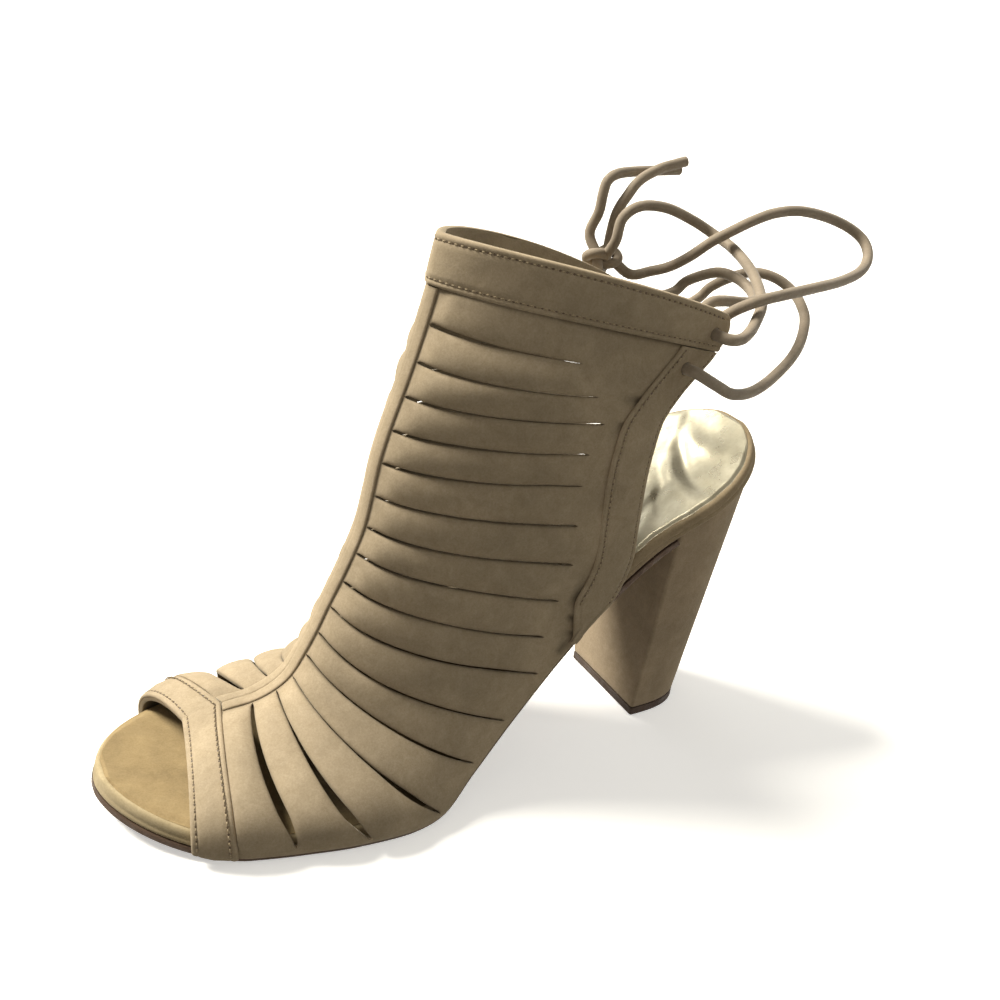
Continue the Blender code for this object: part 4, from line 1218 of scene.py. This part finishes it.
def make_lace(material):
    """The one lace: end, knot, loop, eyelet and so on, in runs that meet inside the eyelets."""
    hole = (FACE - WALL) / 2
    out = FACE + LEAD_IN
    back = -WALL - LEAD_IN
    over = FACE + GAP + LACE / 2 + 0.4

    def through(name, side, *lifts):
        return [at_eyelet(name, side, lift) for lift in lifts]

    def knotted(direction, *reaches):
        return [at_knot(direction, reach) for reach in reaches]

    runs = {
        "lace_loop_a": [*through("upper", OUTER, hole, back), *LOOP_A, *through("upper", INNER, back, hole)],
        "lace_loop_b": [
            *through("lower", OUTER, hole, back), *LOOP_B, *knotted((1, -0.3, -0.3), LEAD_IN, -3)],
        "lace_loop_c": [*through("lower", INNER, hole, back), *LOOP_C, *through("lower", OUTER, out, hole)],
        "lace_loop_d": [
            *through("upper", OUTER, hole, out), *LOOP_D, *knotted((0.1, -0.75, 1), LEAD_IN, -3)],
        "lace_end_1": [*knotted((-0.4, 0.6, 0.8), -3, LEAD_IN), *END_1],
        "lace_end_2": [*knotted((0.7, 0.35, 1), -3, LEAD_IN), *END_2],
    }
    for name, places in runs.items():
        path = smooth_path(places)
        obj = cord_curve(f"{name}_cord", path, LACE / 2, False, material)
        dress(obj, name)
    bar = through("upper", INNER, hole, over) + through("lower", INNER, over, hole)
    dress(cord_curve("lace_bar_cord", smooth_path(bar), LACE / 2, False, material), "lace_bar")
    dress(make_knot(material), "lace_knot")


def make_knot(material):
    """Overhand knot: a closed trefoil of cord, pulled tight and longer than it is high."""
    path = []
    for k in range(140):
        a = 2 * math.pi * k / 140
        x = math.sin(a) + 2 * math.sin(2 * a)
        y = math.cos(a) - 2 * math.cos(2 * a)
        z = -math.sin(3 * a)
        path.append(np.array([x * 1.95, z * 2.0, y * 1.35]) + np.array(KNOT_CENTRE))
    return cord_curve("lace_knot_cord", path, LACE / 2 * 0.98, True, material)


def make_floor():
    """Pale floor that curves up all round."""
    bend = STAGE_RADIUS - STAGE_BEND
    profile = [(r, -FLOOR_DROP) for r in (0.3, 1.0, bend)]
    for k in range(1, 25):
        angle = math.pi / 2 * k / 24
        profile.append((bend + STAGE_BEND * math.sin(angle), STAGE_BEND * (1 - math.cos(angle))))
    profile.append((STAGE_RADIUS, STAGE_BEND + 1.0))
    turns = 96
    circle = [2 * math.pi * k / turns for k in range(turns)]
    verts = [(0, 0, -FLOOR_DROP)]
    verts += [(r * math.cos(angle), r * math.sin(angle), z) for r, z in profile for angle in circle]
    faces = [(0, 1 + k, 1 + (k + 1) % turns) for k in range(turns)]
    for a in range(1, 1 + turns * (len(profile) - 1), turns):
        for k in range(turns):
            n = (k + 1) % turns
            faces.append((a + k, a + turns + k, a + turns + n, a + n))
    mesh = bpy.data.meshes.new("floor")
    mesh.from_pydata(verts, [], faces)
    mesh.shade_smooth()
    mesh.materials.append(Finish("floor_paint").finish(
        (0.92, 0.92, 0.91), 0.9, Specular_IOR_Level=0.1, Emission_Color=(1.0, 0.99, 0.97),
        Emission_Strength=0.45,
    ))
    floor = add_object("floor", mesh)
    floor.visible_diffuse = False
    return floor


def light_sky(tree):
    """Soft light from all round, a little warmer and dimmer from below."""
    place = add_node(tree, "ShaderNodeTexCoord", "Generated")
    height = add_node(tree, "ShaderNodeSeparateXYZ", "Z", {"Vector": place})
    fade = add_node(
        tree, "ShaderNodeMapRange", "Result", {"From Min": -0.35, "From Max": 0.25, "Value": height},
        interpolation_type="SMOOTHSTEP",
    )
    colour = add_node(tree, "ShaderNodeMix", 2, {0: fade, 6: SKY_LOW, 7: SKY_HIGH}, data_type="RGBA")
    feed(tree, tree.nodes["Background"].inputs["Color"], colour)


def add_light(name, kind, power, colour, direction):
    """Lamp that shines from a direction. Returns its object and its data."""
    light = bpy.data.lights.new(name, kind)
    light.energy = power
    light.color = colour
    obj = add_object(name, light)
    obj.rotation_euler = Vector(direction).to_track_quat("Z", "Y").to_euler()
    return obj, light


def make_stage():
    """Floor, a key from above the toe and the inner side, a weak fill from behind, and a broad back light."""
    make_floor()
    world = bpy.data.worlds.new("studio")
    world.use_nodes = True
    light_sky(world.node_tree)
    bpy.context.scene.world = world
    bpy.context.scene.view_settings.view_transform = "Standard"
    for name, sun in SUNS.items():
        lamp = add_light(name, "SUN", sun["power"], sun["colour"], sun["from"])[1]
        lamp.angle = math.radians(sun["spread"])
    direction = Vector(BACK_LIGHT["at"]) - Vector(BACK_LIGHT["to"])
    obj, lamp = add_light("back", "AREA", BACK_LIGHT["power"], BACK_LIGHT["colour"], direction)
    lamp.shape = "DISK"
    lamp.size = BACK_LIGHT["size"]
    obj.location = BACK_LIGHT["at"]


def make_camera():
    yaw, pitch, roll = (math.radians(v) for v in (CAMERA_YAW, CAMERA_PITCH, CAMERA_ROLL))
    back = Vector((math.sin(yaw) * math.cos(pitch), -math.cos(yaw) * math.cos(pitch), math.sin(pitch)))
    level = Vector((math.cos(yaw), math.sin(yaw), 0))
    rise = back.cross(level)
    right = level * math.cos(roll) + rise * math.sin(roll)
    up = back.cross(right)
    lens = bpy.data.cameras.new("camera")
    lens.sensor_width = SENSOR
    lens.lens = PHOTO_FOCAL * CAMERA_ZOOM
    lens.clip_start = 0.01
    camera = add_object("camera", lens)
    place = Vector(CAMERA_PLACE) * MM
    camera.matrix_world = Matrix.Translation(place) @ Matrix((right, up, back)).transposed().to_4x4()
    bpy.context.scene.camera = camera


def dress(obj, node):
    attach(obj, "root")
    if node:
        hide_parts(node)


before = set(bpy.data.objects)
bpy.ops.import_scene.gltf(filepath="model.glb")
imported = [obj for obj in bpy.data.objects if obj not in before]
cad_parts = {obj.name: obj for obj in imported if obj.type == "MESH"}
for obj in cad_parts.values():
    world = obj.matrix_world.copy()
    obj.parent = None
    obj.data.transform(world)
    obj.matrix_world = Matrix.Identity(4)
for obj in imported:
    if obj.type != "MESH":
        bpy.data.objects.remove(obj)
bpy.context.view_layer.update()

SUEDE_TAN = (0.475, 0.388, 0.275)
upper_suede = suede("upper_suede", SUEDE_TAN, shaded=True)
band_suede = suede("band_suede", SUEDE_TAN)
board_suede = suede("footbed_suede", (0.43, 0.34, 0.225), 0.25, toe=(0.51, 0.42, 0.265))
# darker behind the toe opening: painted shade under the vamp
toe_suede = suede("toe_sock_suede", (0.38, 0.285, 0.152), 0.3, 14, under=0.5)
heel_suede = suede("heel_suede", (0.46, 0.365, 0.26))
sock_foil = metallic_sock("heel_sock_foil")
sole_rubber = rubber("sole_rubber", (0.08, 0.05, 0.033))
lift_rubber = rubber("lift_rubber", (0.055, 0.036, 0.026))
seam_thread = thread("seam_thread", (0.37, 0.295, 0.19))
# painted shade of the needle holes
hole_painted_shade = rubber("needle_hole_painted_shade", (0.10, 0.07, 0.042))
lace_suede = cord_suede("lace_suede", (0.31, 0.255, 0.19))

upper = make_upper(upper_suede)
toe = cross_band("toe_band_suede", 0, np.linspace(0, 1, 61), toe_profile, 0.0, band_suede)
collar_shares = np.concatenate([np.linspace(0, 0.96, 60), [0.975, 0.985, 0.993, 0.998, 1.0]])
collar = cross_band("collar_band_suede", COLLAR_ROW, collar_shares, collar_profile, 0.45, band_suede)
strip = centre_strip(band_suede)
bands = {label: back_band(label, side, band_suede) for label, side in (("outer", OUTER), ("inner", INNER))}
cut_eyelets([upper, collar, bands["outer"], bands["inner"]])
dress(upper, "upper")
dress(toe, "toe_band")
dress(collar, "collar_band")
dress(strip, "centre_strip")
for label, band in bands.items():
    dress(band, f"back_band_{label}")
for stitches in make_stitches(seam_thread, hole_painted_shade):
    dress(stitches, None)
dress(make_board(board_suede), "insole_board")
dress(make_outsole(sole_rubber), "outsole")
lining = make_sock(
    "toe_sock_suede", -TOE_REACH + 1.5, SOCK_JOINT - GAP, 1.2, 0.12, toe_suede, lambda x, y: 0.0, 0.0)
dress(lining, "toe_lining")
sock = make_sock(
    "heel_sock_foil", SOCK_JOINT, RUN - TOE_REACH - SOCK_EDGE, SOCK_EDGE, 0.06, sock_foil, sock_relief, 0.2)
dress(sock, "heel_sock")
block, lift = make_heel(heel_suede, lift_rubber)
dress(block, "heel_block")
dress(lift, "heel_top_lift")
make_lace(lace_suede)
make_stage()
make_camera()
